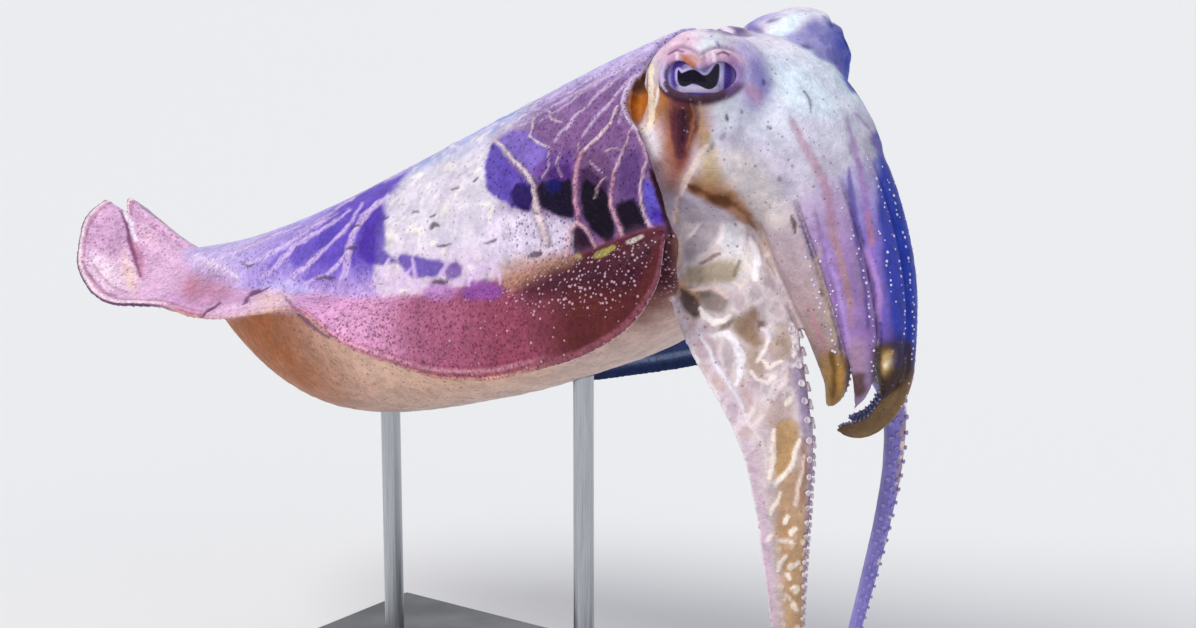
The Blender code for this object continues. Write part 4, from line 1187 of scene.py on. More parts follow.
BLOTCHES = (  # dark patches behind the head, with a painted highlight and a painted shadow at the mantle's front edge: colour, softness, outline
    ("7e68bc", 5, (
        (498, 140), (512, 131), (530, 132), (546, 146), (551, 164), (548, 182), (536, 180), (522, 164),
        (507, 150),
    )),
    ("5a45a8", 3, (
        (493, 143), (487, 156), (484, 172), (488, 190), (500, 200), (514, 207), (527, 210), (532, 196),
        (528, 182), (516, 170), (506, 158), (499, 146),
    )),
    ("6a52b6", 5, ((508, 176), (518, 178), (524, 188), (516, 192), (508, 188))),
    ("241452", 4, ((511, 190), (518, 182), (528, 184), (532, 196), (529, 210), (518, 209), (512, 202))),
    ("6c4690", 8, ((533, 170), (548, 156), (566, 150), (574, 160), (573, 178), (556, 182), (538, 182))),
    ("4c2872", 6, ((547, 170), (558, 164), (570, 166), (573, 182), (560, 184), (546, 184))),
    ("08031f", 3, (
        (538, 186), (546, 180), (560, 180), (571, 178), (573, 194), (573, 212), (568, 219), (556, 216),
        (545, 210), (537, 200),
    )),
    ("14145c", 4, ((545, 181), (556, 179), (561, 188), (554, 193), (546, 190))),
    ("6b4a74", 8, ((584, 158), (600, 150), (612, 160), (611, 182), (598, 188), (584, 180))),
    ("3c2348", 6, ((580, 172), (590, 168), (600, 178), (608, 184), (606, 196), (590, 190), (580, 188))),
    ("06040f", 3, (
        (581, 190), (586, 180), (594, 184), (604, 192), (609, 196), (610, 212), (616, 228), (611, 243),
        (600, 238), (590, 228), (583, 216), (580, 202),
    )),
    ("5e3f78", 7, ((619, 164), (631, 150), (641, 158), (639, 178), (637, 200), (620, 200))),
    ("0d0413", 3.5, (
        (616, 208), (624, 200), (636, 202), (643, 214), (648, 228), (652, 238), (642, 241), (628, 240),
        (622, 228),
    )),
    ("2a0f26", 3, ((573, 232), (579, 227), (588, 236), (594, 250), (583, 256), (573, 252))),
    # painted highlight: the blue-violet streak on the mantle's front edge
    ("5a50b4", 4, ((644, 180), (652, 186), (659, 204), (665, 224), (662, 233), (652, 224), (645, 208))),
    ("43289a", 3, ((652, 212), (659, 210), (665, 224), (661, 233), (654, 226))),
    # painted shadow in the gap between the mantle's front edge and the head
    ("2a0c18", 3, (
        (650, 168), (660, 180), (668, 200), (673, 226), (671, 240), (665, 226), (659, 204), (652, 186),
    )),
)
ROOT_BLOTCHES = (  # violet patches near the fin's root: colour, softness, outline
    ("6a55c0", 4, ((288, 254), (298, 242), (310, 236), (318, 244), (308, 258), (296, 267))),
    ("5c48b6", 4, ((315, 240), (326, 227), (338, 222), (337, 236), (326, 247), (317, 254))),
    ("6650bc", 4, ((332, 254), (340, 242), (346, 234), (347, 250), (341, 263), (332, 270))),
    ("7e6acb", 5, ((268, 264), (280, 252), (290, 247), (285, 262), (273, 273))),
    ("7a62c6", 5, ((300, 284), (312, 270), (326, 264), (330, 272), (318, 282))),
    ("4a2da0", 5, (
        (362, 214), (372, 206), (382, 204), (385, 226), (385, 250), (396, 262), (370, 264), (358, 250),
        (362, 232),
    )),
    ("5233a6", 4, (
        (398, 262), (402, 254), (416, 256), (432, 260), (444, 262), (446, 272), (432, 278), (410, 276),
    )),
    ("6a3f9c", 4, ((444, 268), (456, 262), (462, 272), (454, 280), (446, 278))),
    ("8a4c9c", 8, ((462, 288), (472, 280), (490, 282), (504, 288), (500, 298), (478, 300), (464, 298))),
    ("b07cb8", 9, ((428, 284), (445, 282), (456, 292), (440, 300), (426, 296))),
)
DARK_MARKS = (  # small dark strokes on the mantle and fin
    ((317, 279, 1.2), (324, 277, 2.0), (334, 278, 1.6)),
    ((352, 228, 1.4), (356, 226, 2.0), (361, 226, 1.2)),
    ((349, 249, 1.6), (353, 248, 2.0), (356, 249, 1.2)),
    ((430, 228, 1.8), (434, 224, 2.2), (439, 226, 1.4)),
    ((430, 217, 1.0), (435, 214, 1.2)),
    ((413, 212, 1.0), (418, 212, 1.2)),
    ((384, 218, 1.2), (388, 216, 1.0)),
    ((452, 190, 1.0), (458, 189, 1.0)),
    ((437, 246, 1.0), (445, 246, 1.4), (450, 244, 0.8)),
    ((474, 182, 1.6), (477, 178, 1.2)),
    ((434, 283, 2.0), (442, 282, 2.6), (448, 281, 1.4)),
    ((528, 256, 1.6), (535, 254, 2.4), (541, 253, 1.6)),
    ((487, 243, 1.2), (495, 240, 1.4)),
    ((240, 262, 0.8), (247, 266, 1.2), (252, 265, 0.9)),
)

HEAD_PATCHES = (  # colour, strength, softness, outline
    ("d9b9b0", 0.7, 14, ((652, 60), (662, 95), (662, 150), (668, 190), (650, 180), (640, 140), (640, 80))),
    ("b0745a", 0.85, 10, (
        (660, 92), (690, 100), (712, 102), (708, 124), (698, 142), (690, 160), (682, 186), (668, 190),
        (660, 164), (659, 122),
    )),
    ("8a4a34", 0.85, 7, (
        (664, 86), (676, 96), (700, 100), (704, 112), (698, 132), (690, 156), (682, 172), (674, 172),
        (670, 140), (664, 112),
    )),
    ("6b3238", 0.85, 6, (
        (674, 96), (696, 102), (700, 116), (692, 138), (686, 156), (678, 166), (672, 150), (670, 122),
    )),
    ("3d1024", 0.9, 6, (
        (674, 112), (686, 108), (692, 122), (688, 140), (684, 154), (676, 156), (673, 140), (670, 126),
    )),
    ("5a2c1c", 0.7, 5, ((684, 104), (700, 104), (702, 116), (696, 132), (688, 124))),
    ("b5762f", 0.85, 4, ((657, 88), (664, 86), (668, 98), (664, 112), (658, 118), (655, 106))),
    ("8a8446", 0.5, 4, ((704, 134), (712, 132), (714, 146), (708, 152), (703, 146))),
    ("c8925c", 0.6, 6, ((644, 96), (654, 92), (660, 108), (656, 128), (648, 126), (644, 112))),
    ("b88a4e", 0.7, 5, ((700, 104), (712, 104), (714, 122), (706, 144), (698, 148), (700, 126))),
    ("c9b078", 0.75, 8, ((702, 156), (716, 148), (724, 160), (722, 180), (710, 188), (700, 178))),
    ("7a5a9c", 0.85, 4, (
        (708, 32), (714, 20), (726, 14), (740, 14), (750, 20), (752, 34), (738, 36), (722, 34),
    )),
    ("4c3470", 0.7, 3, ((716, 32), (728, 28), (744, 30), (750, 35), (736, 38))),
    ("f4eef0", 0.9, 5, ((644, 128), (654, 126), (659, 140), (658, 158), (651, 160), (645, 146))),
    ("efeaf0", 0.6, 8, (
        (718, 148), (728, 142), (740, 150), (744, 172), (736, 186), (726, 176), (720, 164),
    )),
    ("b9946c", 0.75, 9, (
        (688, 180), (704, 170), (722, 174), (740, 190), (754, 210), (760, 230), (746, 220), (726, 204),
        (702, 196),
    )),
    # the crease's brown line under the cheek with painted shade over it
    ("9a6038", 0.9, 4, (
        (686, 184), (700, 186), (716, 190), (728, 196), (740, 208), (750, 220), (756, 234), (748, 230),
        (736, 217), (722, 208), (704, 200), (690, 194),
    )),
    ("c99a78", 0.8, 5, (
        (726, 184), (732, 190), (742, 204), (752, 220), (762, 236), (768, 250), (758, 244), (746, 228),
        (736, 214), (728, 200),
    )),
    # the crease's darkest places, painted shade, the next two rows
    ("5d3416", 0.85, 3, ((688, 186), (696, 182), (702, 188), (694, 194))),
    ("6b4412", 0.85, 3, ((706, 197), (716, 195), (727, 194), (730, 200), (726, 208), (716, 204))),
    ("a79ad0", 0.8, 10, (
        (736, 44), (752, 46), (766, 62), (770, 84), (764, 104), (750, 110), (740, 92), (740, 70),
    )),
    ("8680c4", 0.7, 6, ((754, 60), (764, 66), (770, 80), (768, 94), (758, 92), (752, 76))),
    ("c08fae", 0.6, 5, ((744, 86), (754, 84), (762, 92), (760, 102), (752, 100), (746, 94))),
    ("ddf0fa", 0.75, 12, ((772, 60), (800, 66), (826, 84), (836, 104), (820, 116), (796, 108), (778, 92))),
    ("eaf6fb", 0.6, 7, ((704, 38), (716, 34), (722, 42), (712, 52), (698, 50), (694, 44))),
    ("e6f0ea", 0.6, 6, ((712, 106), (722, 104), (728, 112), (722, 124), (714, 120))),
    ("9a8fa0", 0.4, 7, ((716, 128), (730, 130), (740, 124), (744, 140), (730, 150), (718, 142))),
    ("e6b9cc", 0.6, 7, ((660, 40), (676, 32), (694, 34), (700, 46), (684, 52), (668, 56), (656, 58))),
    ("c98fb0", 0.6, 4, ((668, 54), (676, 49), (686, 54), (692, 61), (682, 60), (672, 58))),
    ("dca8c0", 0.7, 4, ((722, 52), (732, 54), (738, 62), (734, 70), (728, 62))),
    ("dcd4ce", 0.75, 12, (
        (728, 152), (756, 158), (776, 190), (786, 224), (768, 228), (746, 200), (728, 178),
    )),
    ("c9c2dc", 0.5, 10, ((700, 104), (716, 104), (724, 116), (716, 128), (704, 122))),
)
HEAD_LINES = (  # colour, strength, places
    ("f6e6c8", 0.9, (
        (652, 66, 2.2), (650, 84, 3.2), (651, 100, 3.4), (653, 114, 3.2), (648, 128, 2.2), (640, 132, 1.0),
    )),
    ("fbeee6", 0.9, ((658, 84, 0.8), (657, 96, 1.4), (655, 108, 1.2))),
    # painted highlights on the upper lid, the next two rows
    ("fbeef2", 0.9, ((677, 53, 0.8), (678, 60, 1.5), (679, 68, 1.4))),
    ("f6eef6", 0.85, ((713, 50, 0.8), (714, 58, 1.6), (715, 65, 1.3))),
    ("8a6c80", 0.7, ((704, 52, 1.6), (704, 60, 3.2), (705, 70, 3.2))),
    ("a4603a", 0.8, ((683, 56, 1.4), (688, 61, 3.0), (695, 67, 3.0))),
    ("64301f", 0.7, ((688, 68, 1.0), (694, 72, 1.5), (700, 73, 1.0))),
    ("d8c9e8", 0.8, ((666, 62, 1.0), (663, 72, 1.6), (664, 84, 1.4), (669, 91, 0.8))),
    ("5a2a30", 0.8, ((674, 108, 1.6), (674, 124, 2.2), (676, 142, 1.8), (678, 158, 1.0))),
    ("b0703c", 0.4, ((668, 104, 1.0), (667, 122, 1.6), (669, 142, 1.6), (673, 162, 1.2))),
    ("2e0c1c", 0.8, ((683, 112, 1.4), (684, 126, 2.4), (682, 142, 1.6))),
    ("9a6440", 0.7, ((691, 104, 1.4), (694, 116, 1.8), (691, 132, 1.6), (687, 148, 1.0))),
    ("cfae78", 0.4, ((700, 102, 1.2), (702, 116, 1.8), (699, 132, 1.4))),
    ("e6cdc0", 0.85, ((706, 146, 2.0), (697, 160, 3.0), (688, 176, 3.0), (680, 192, 2.6), (677, 206, 2.0))),
    ("f6dfe0", 0.9, ((686, 186, 1.0), (680, 194, 1.8), (676, 206, 2.2), (675, 226, 1.8), (677, 244, 1.6))),
    ("d8bd8a", 0.7, ((676, 214, 1.2), (680, 226, 1.8), (681, 240, 1.4))),
    # painted shade in the crease above the eye, the next two rows
    ("7c4f78", 0.9, ((668, 55, 1.2), (676, 50, 1.6), (684, 52, 1.2))),
    ("5b3450", 0.9, ((717, 54, 1.2), (723, 52, 1.8), (728, 56, 1.2))),
    ("4a3f3e", 0.85, ((727, 116, 1.4), (727.5, 118.5, 2.0), (728, 121, 1.2))),
    ("6f6a70", 0.7, ((741, 109, 1.2), (742, 112, 1.6))),
    ("6a655f", 0.75, ((768, 126, 1.6), (770.5, 127, 1.8))),
    ("7a7882", 0.7, ((779, 177, 1.4), (779, 180, 1.6))),
    ("8a8490", 0.6, ((750, 202, 1.4), (751, 204, 1.4))),
    ("8f8a99", 0.6, ((824, 156, 1.2), (825, 158, 1.2))),
    ("7f7a86", 0.7, ((712, 144, 1.6), (711, 148, 1.8))),
    ("807a8c", 0.6, ((724, 134, 2.4), (722, 137, 2.0))),
    ("6f6a80", 0.8, ((803, 91, 0.8), (808, 98, 1.3), (811, 104, 1.3), (812, 111, 1.0))),
    ("4f4a86", 0.8, ((763, 80, 1.4), (764, 84, 1.8))),
    ("625a94", 0.7, ((717, 42, 1.2), (720, 45, 1.4))),
)
POCKET_DEEP = -0.5  # relief of the pocket
POCKET = (  # where the mantle's edge stands off the head: colour, strength, softness, outline
    ("8a5a34", 0.97, 2.5, (
        (646, 71), (636, 82), (628, 94), (626, 106), (630, 118), (637, 126), (643, 116), (646, 100),
        (647, 84),
    )),
    ("b0660f", 0.95, 4, ((641, 90), (633, 98), (631, 108), (635, 119), (640, 116), (645, 104), (645, 94))),
    ("5e3210", 0.7, 2.5, ((646, 74), (639, 82), (634, 90), (640, 92), (645, 86))),
)
POCKET_RIM = (
    (645, 68, 1.0), (636, 78, 1.6), (627, 90, 1.8), (623, 104, 1.8), (628, 120, 1.8), (636, 130, 1.6),
)
STREAKS_FRONT = (  # streaks from the forehead down the arms
    ("a9788f", (
        (790, 118, 2.0), (796, 128, 4.0), (804, 144, 4.4), (814, 162, 4.6), (823, 180, 4.6),
        (828, 200, 4.4), (832, 222, 3.6),
    )),
    ("9f6fb2", (
        (847, 118, 1.5), (850, 132, 2.6), (855, 150, 3.2), (860, 170, 3.4), (864, 190, 3.4),
        (866, 212, 3.0), (868, 236, 2.4),
    )),
    ("b58c94", ((832, 222, 3.4), (837, 244, 3.4), (843, 270, 3.4), (848, 300, 3.0), (852, 326, 2.0))),
    ("a878c0", ((868, 236, 2.4), (872, 256, 3.0), (877, 280, 3.0), (880, 304, 2.4))),
)
# painted shade: the deep blue of the far left arms, at its places in the picture
FAR_BLUE_SHADE = ("2440ac", (
    (870, 138), (880, 160), (877, 190), (880, 232), (889, 300), (897, 345), (922, 350), (926, 280),
    (915, 210), (896, 160), (882, 132),
))
ARM_LINES = (  # edges and seams of the right cheek and arms, with painted shade in the crease under the cheek and in the grooves between arms: colour, strength, softness in pixels, places
    # the first three rows are painted shade over the crease's brown line between the cheek and the lowest arm
    ("9a6a3c", 0.7, 5.0, (
        (688, 178, 1.6), (704, 184, 3.0), (720, 190, 4.0), (736, 200, 3.4), (750, 216, 2.0),
    )),
    ("5d3416", 0.85, 3.0, (
        (684, 185, 0.8), (694, 187, 1.6), (704, 192, 1.8), (714, 198, 3.2), (724, 200, 3.6),
        (734, 205, 2.4),
    )),
    ("7a4a20", 0.8, 3.0, ((734, 205, 2.4), (745, 214, 1.6), (753, 225, 1.2), (760, 236, 0.8))),
    ("c9b692", 0.6, 3.0, (
        (822, 240, 1.0), (816, 262, 2.0), (824, 290, 2.4), (830, 318, 2.4), (836, 340, 2.0),
    )),
    ("c9899a", 0.6, 2.5, ((808, 306, 1.4), (814, 322, 2.0), (820, 340, 2.2), (826, 360, 2.0))),
    ("7a5a1c", 0.8, 2.5, ((830, 352, 1.4), (834, 364, 2.6), (836, 378, 2.8), (834, 396, 2.0))),
    # painted shade in the grooves between the arms, the next two rows
    ("5c4f9a", 0.8, 2.0, (
        (848, 168, 1.0), (850, 182, 3.0), (852, 200, 3.4), (855, 222, 4.0), (858, 244, 2.4),
        (862, 270, 2.0), (866, 300, 2.4), (868, 326, 2.4),
    )),
    ("7a5a9a", 0.6, 2.0, (
        (814, 212, 1.0), (818, 226, 2.4), (823, 244, 2.4), (830, 272, 1.8), (836, 300, 1.6),
        (843, 336, 1.6),
    )),
    ("b49adc", 0.7, 2.0, (
        (824, 240, 1.6), (828, 258, 2.4), (834, 276, 2.4), (840, 296, 2.0), (845, 320, 1.8),
        (850, 345, 1.6),
    )),
    ("b77f96", 0.8, 2.5, ((868, 214, 2.0), (870, 230, 3.4), (872, 244, 2.6))),
    ("c39ad8", 0.6, 2.5, ((866, 250, 2.0), (874, 270, 3.0), (880, 296, 3.0), (880, 320, 2.0))),
    ("b08a74", 0.6, 3.0, ((830, 232, 1.6), (838, 252, 2.2), (846, 280, 2.4), (851, 304, 2.4))),
    ("98859a", 0.5, 3.0, ((856, 250, 2.0), (858, 272, 2.4), (862, 296, 2.0))),
)
FAR_ORBIT_MARKS = (  # on the left eye's hood: colour, strength, softness, outline
    ("4a3290", 0.85, 4, ((746, 26), (752, 22), (762, 30), (766, 36), (754, 38), (746, 34))),
    ("3d2f78", 0.85, 2, ((766, 22), (772, 19), (782, 18), (778, 21), (770, 23))),
    ("8f8fd0", 0.85, 8, ((748, 20), (762, 8), (780, 4), (776, 14), (762, 22), (752, 26))),
    ("e8fbff", 0.85, 6, ((772, 26), (790, 14), (806, 14), (800, 26), (790, 38), (772, 40), (766, 34))),
    ("9a98cc", 0.85, 8, ((796, 34), (814, 22), (832, 24), (840, 44), (830, 58), (808, 52), (792, 44))),
    ("5a5a98", 0.85, 3, ((800, 46), (806, 44), (812, 48), (804, 50))),
    # painted shade: the deep blue at the far orbit's outer rim, the next two rows
    ("3446b4", 0.85, 7, ((826, 22), (840, 26), (852, 40), (860, 62), (856, 90), (843, 80), (836, 56))),
    ("1a43a9", 0.85, 4, ((840, 34), (852, 44), (860, 64), (856, 92), (845, 82), (845, 58))),
    ("7d80c0", 0.85, 4, ((806, 26), (816, 22), (820, 30), (812, 36))),
    ("7476b8", 0.85, 3, ((818, 36), (828, 34), (832, 42), (824, 46))),
    ("8a86c4", 0.85, 3, ((812, 54), (822, 52), (826, 60), (816, 62))),
    ("6a6cb4", 0.85, 3, ((826, 50), (836, 50), (840, 60), (830, 62))),
    ("a8a4dc", 0.85, 4, ((784, 36), (796, 34), (800, 42), (790, 46))),
)

FOURTH_PATCHES = (  # on the right lowest arm: colour, strength, softness, outline
    # the arm's pale cream top, painted lighter as light to offset the cheek's shadow
    ("f0eae6", 0.85, 10, (
        (676, 204), (700, 196), (724, 204), (744, 226), (760, 258), (756, 286), (728, 268), (690, 270),
        (680, 248),
    )),
    ("e6e2e2", 0.7, 4, ((684, 200), (698, 200), (704, 208), (694, 222), (684, 226))),
    ("a99ca8", 0.85, 4, (
        (693, 232), (706, 217), (716, 216), (718, 232), (712, 246), (700, 254), (688, 262), (684, 248),
    )),
    ("dfe3ee", 0.75, 5, ((724, 216), (736, 222), (740, 236), (736, 252), (726, 248), (722, 232))),
    ("b0a07c", 0.85, 5, (
        (682, 272), (694, 266), (712, 262), (732, 262), (738, 272), (730, 282), (706, 284), (684, 284),
    )),
    ("b98a4a", 0.8, 2.5, (
        (671, 280), (680, 281), (692, 288), (702, 298), (698, 302), (684, 294), (674, 290),
    )),
    # painted shadow beneath the knob at the arm's root
    ("3a1c04", 0.97, 3, ((676, 287), (688, 291), (697, 299), (703, 313), (694, 318), (682, 307))),
    ("85766c", 0.85, 4, (
        (698, 292), (710, 290), (726, 296), (730, 306), (722, 313), (708, 310), (699, 302),
    )),
    ("6f5d4c", 0.7, 3, ((699, 293), (708, 291), (712, 296), (704, 300))),
    ("c6b4b8", 0.6, 5, ((732, 290), (744, 290), (746, 304), (736, 308), (730, 300))),
    ("84643e", 0.9, 5, (
        (734, 319), (744, 314), (752, 306), (758, 312), (758, 326), (764, 344), (754, 348), (742, 340),
        (733, 330),
    )),
    ("5f4638", 0.9, 2.5, ((757, 322), (763, 320), (765, 328), (759, 331))),
    ("6d5a46", 0.8, 3, ((720, 327), (728, 320), (734, 321), (728, 330), (720, 332))),
    ("ad9480", 0.75, 5, ((768, 340), (784, 336), (792, 348), (790, 360), (776, 360), (768, 352))),
    ("a48c70", 0.75, 5, ((744, 350), (756, 348), (764, 362), (764, 378), (752, 376), (746, 364))),
    ("d4b2ba", 0.6, 5, ((740, 382), (752, 384), (756, 400), (748, 410), (742, 398))),
    ("a38fb6", 0.75, 4, (
        (792, 364), (801, 366), (805, 386), (809, 410), (809, 440), (804, 440), (799, 412), (794, 390),
    )),
    ("b39a92", 0.8, 5, ((768, 404), (784, 396), (794, 404), (790, 420), (776, 430), (766, 424))),
    ("b38a48", 0.9, 4, (
        (774, 428), (786, 420), (798, 424), (797, 446), (788, 466), (778, 478), (774, 462), (776, 444),
    )),
    ("9a6a58", 0.8, 3, (
        (800, 444), (806, 440), (808, 470), (804, 500), (800, 512), (798, 490), (800, 466),
    )),
    ("b88f60", 0.7, 5, (
        (784, 480), (796, 470), (798, 500), (794, 540), (784, 560), (776, 530), (780, 500),
    )),
    ("c2a489", 0.55, 8, ((788, 470), (802, 462), (804, 490), (800, 520), (790, 520), (784, 496))),
)
FOURTH_LINES = (  # colour, strength, places
    ("e8d6ac", 0.85, ((677, 238, 1.4), (679, 256, 1.8), (675, 272, 1.6), (672, 284, 2.0), (674, 294, 1.4))),
    ("fbf3f2", 0.95, ((688, 238, 1.6), (696, 228, 2.4), (703, 218, 2.6), (712, 211, 2.4), (720, 212, 2.0))),
    ("f6eeee", 0.95, ((720, 212, 1.8), (723, 224, 2.4), (722, 236, 2.2), (716, 250, 1.6))),
    ("f4f0f4", 0.9, ((732, 214, 2.0), (742, 226, 3.4), (744, 240, 3.2), (742, 254, 2.0))),
    ("fffafc", 0.97, ((750, 238, 2.0), (756, 252, 3.4), (757, 266, 3.6), (755, 280, 2.4))),
    ("f0e4dc", 0.85, ((734, 283, 1.6), (742, 287, 2.2), (750, 281, 1.8))),
    ("8f6a70", 0.85, ((700, 263, 1.6), (709, 259, 2.2), (718, 255, 1.8))),
    ("e9cfc8", 0.7, ((703, 258, 1.2), (712, 252, 1.6), (718, 246, 1.2))),
    ("8d8468", 0.8, ((733, 276, 1.8), (736, 268, 1.8), (739, 262, 1.2))),
    ("e2cfb4", 0.8, ((731, 262, 1.8), (734, 260, 1.8))),
    ("e8cfc6", 0.85, ((690, 289, 1.4), (701, 288, 2.4), (712, 287, 2.4), (720, 293, 2.2), (727, 299, 1.6))),
    ("fff6f0", 0.97, ((700, 308, 1.8), (705, 317, 3.2), (714, 323, 3.4), (724, 321, 2.8), (730, 316, 1.6))),
    ("f3eef4", 0.95, (
        (714, 336, 2.0), (728, 334, 2.8), (736, 344, 3.8), (741, 358, 4.4), (740, 372, 3.4),
        (736, 384, 2.0),
    )),
    ("a89ab0", 0.6, ((713, 342, 1.4), (714, 352, 1.8), (720, 364, 1.4))),
    ("eeeef6", 0.85, ((698, 332, 1.0), (708, 350, 1.6), (720, 371, 1.6), (735, 393, 1.4), (746, 416, 1.2))),
    ("e8dcd6", 0.8, ((746, 296, 1.4), (748, 306, 1.6))),
    ("e6dce6", 0.85, ((763, 330, 2.2), (769, 334, 3.0), (770, 342, 1.8))),
    ("f6eae4", 0.9, ((768, 340, 1.4), (766, 350, 2.0), (758, 362, 2.4))),
    ("fff9f6", 0.97, ((792, 324, 2.0), (795, 336, 3.4), (796, 346, 3.0), (793, 356, 1.6))),
    ("f6f2fa", 0.95, ((803, 344, 1.6), (805, 356, 2.6), (799, 362, 3.0), (793, 366, 1.6))),
    ("fdeee4", 0.95, ((764, 362, 2.0), (770, 368, 3.4), (776, 364, 2.4), (782, 361, 1.4))),
    ("f6e6e0", 0.85, ((752, 372, 1.6), (758, 380, 2.0), (768, 382, 2.0), (776, 376, 1.6))),
    ("f6dcda", 0.8, ((784, 380, 1.6), (788, 372, 2.0), (786, 366, 1.4))),
    ("f3e0e2", 0.85, ((774, 398, 1.8), (780, 388, 2.6), (788, 380, 2.0))),
    ("fbf0e2", 0.95, ((786, 404, 2.6), (790, 400, 3.2))),
    ("f8e9da", 0.9, ((774, 430, 1.8), (774, 446, 2.6), (772, 462, 2.8), (770, 478, 2.0))),
    ("fbeede", 0.95, ((799, 440, 1.8), (795, 454, 2.4), (790, 468, 2.6), (780, 480, 3.0), (776, 484, 2.4))),
    ("f3dccb", 0.9, ((804, 456, 1.4), (801, 472, 1.8), (798, 488, 2.0), (795, 504, 2.2))),
    ("fbeedd", 0.9, ((780, 494, 2.0), (776, 504, 2.4), (770, 514, 1.8))),
    ("fdf0e0", 0.95, ((788, 517, 2.4), (785, 523, 2.6))),
    ("fdf0e0", 0.95, ((796, 529, 2.0), (790, 533, 2.6))),
    ("f8e8de", 0.8, ((778, 540, 1.6), (788, 541, 2.4), (794, 543, 1.8))),
    ("f8e8de", 0.8, ((772, 536, 1.6), (768, 540, 2.4))),
    ("f8ecdf", 0.85, ((786, 556, 2.0), (781, 564, 2.4), (779, 571, 1.6))),
    ("fdf2e2", 0.95, ((788, 575, 2.4), (790, 578, 2.2))),
    ("f8ecdf", 0.85, ((798, 562, 1.6), (794, 566, 2.0))),
    ("f8ecdf", 0.85, ((794, 586, 1.8), (792, 589, 1.8))),
    ("f8ecdf", 0.8, ((786, 596, 1.8), (790, 600, 1.6))),
    ("f8ecdf", 0.8, ((795, 604, 1.4), (797, 610, 1.6))),
)
ARM_MARKS = (  # small marks on the upper arms
    ("5a4a44", 0.9, ((792, 217, 1.2), (794, 224, 2.6), (794, 232, 1.6))),
    ("7a5f4c", 0.85, ((820, 291, 2.2), (821, 294, 2.2))),
    ("8b7a80", 0.6, ((836, 344, 1.6), (838, 348, 1.6))),
    ("caa46a", 0.9, ((882, 364, 2.0), (888, 357, 2.6), (893, 352, 1.4))),
)

TIP_PATCHES = (  # ends of the right side's upper arms
    ("a88650", 0.85, 7, (
        (814, 366), (826, 352), (844, 356), (848, 380), (842, 404), (828, 414), (820, 396),
    )),
    ("d0b48a", 0.7, 3, ((817, 372), (822, 372), (828, 394), (830, 410), (824, 402))),
    ("6b4a1c", 0.85, 2.5, ((829, 352), (834, 352), (837, 374), (835, 396), (831, 396), (831, 372))),
    ("b98c44", 0.8, 3, ((838, 362), (844, 362), (845, 380), (840, 396), (837, 386))),
    ("b795ac", 0.7, 5, ((850, 336), (864, 338), (866, 362), (860, 376), (850, 364))),
    ("5a3f34", 0.9, 4, ((848, 378), (864, 372), (866, 388), (860, 398), (850, 396))),
    ("3c2c24", 0.95, 5, (
        (874, 350), (882, 344), (896, 340), (908, 346), (908, 372), (898, 390), (884, 398), (874, 392),
    )),
    ("6a5230", 0.8, 4, ((876, 356), (884, 346), (900, 346), (898, 362), (886, 378), (877, 374))),
    ("b89a5c", 0.85, 3, ((879, 358), (888, 350), (897, 352), (893, 364), (884, 373), (879, 370))),
    ("efe2bc", 0.9, 2, ((883, 360), (889, 354), (893, 359), (888, 367), (883, 368))),
    ("342c58", 0.7, 4, ((892, 334), (904, 332), (908, 350), (900, 368), (890, 362))),
)
FAR_TIP_PATCHES = (  # ends of the left side's upper arms, which curl below the others
    ("3c2c24", 0.9, 4, ((888, 342), (912, 342), (912, 372), (902, 386), (886, 392), (878, 380))),
    ("6b5430", 0.4, 3, (
        (900, 384), (912, 372), (910, 392), (900, 410), (884, 424), (862, 432), (836, 434), (838, 426),
        (862, 424), (884, 414), (896, 400),
    )),
    ("9a8050", 0.7, 3, (
        (884, 402), (896, 392), (892, 404), (880, 412), (862, 418), (850, 418), (866, 410),
    )),
)
TAIL_PATCHES = (  # the tail's fins and the trough in front of them
    ("c49cbe", 0.75, 9, ((92, 232), (104, 214), (120, 214), (126, 230), (128, 250), (112, 252), (96, 250))),
    ("f4e2ec", 0.7, 9, ((86, 256), (104, 256), (118, 268), (122, 288), (108, 288), (94, 276))),
    ("ecd4c0", 0.7, 6, ((122, 252), (130, 262), (137, 280), (134, 292), (126, 286), (122, 268))),
    ("b4748e", 0.8, 4, ((130, 240), (136, 240), (143, 258), (145, 276), (140, 276), (134, 258))),
    ("ecc4da", 0.7, 6, ((134, 208), (146, 214), (158, 232), (154, 252), (144, 246), (138, 226))),
    ("e0cbe6", 0.7, 8, ((186, 254), (206, 258), (232, 268), (238, 280), (218, 274), (194, 266))),
    ("b4788c", 0.6, 12, (
        (184, 278), (200, 272), (222, 276), (234, 290), (222, 302), (200, 302), (186, 296),
    )),
    ("b4645c", 0.35, 8, ((184, 284), (194, 280), (198, 292), (192, 300), (184, 294))),
    ("f3d2cc", 0.85, 6, ((258, 294), (276, 290), (292, 298), (284, 307), (262, 311), (244, 312))),
    ("c4c0f0", 0.6, 6, ((262, 282), (290, 280), (312, 286), (300, 294), (272, 290))),
    ("e6c2dc", 0.7, 6, ((206, 310), (226, 304), (250, 302), (262, 306), (240, 316), (212, 319))),
)
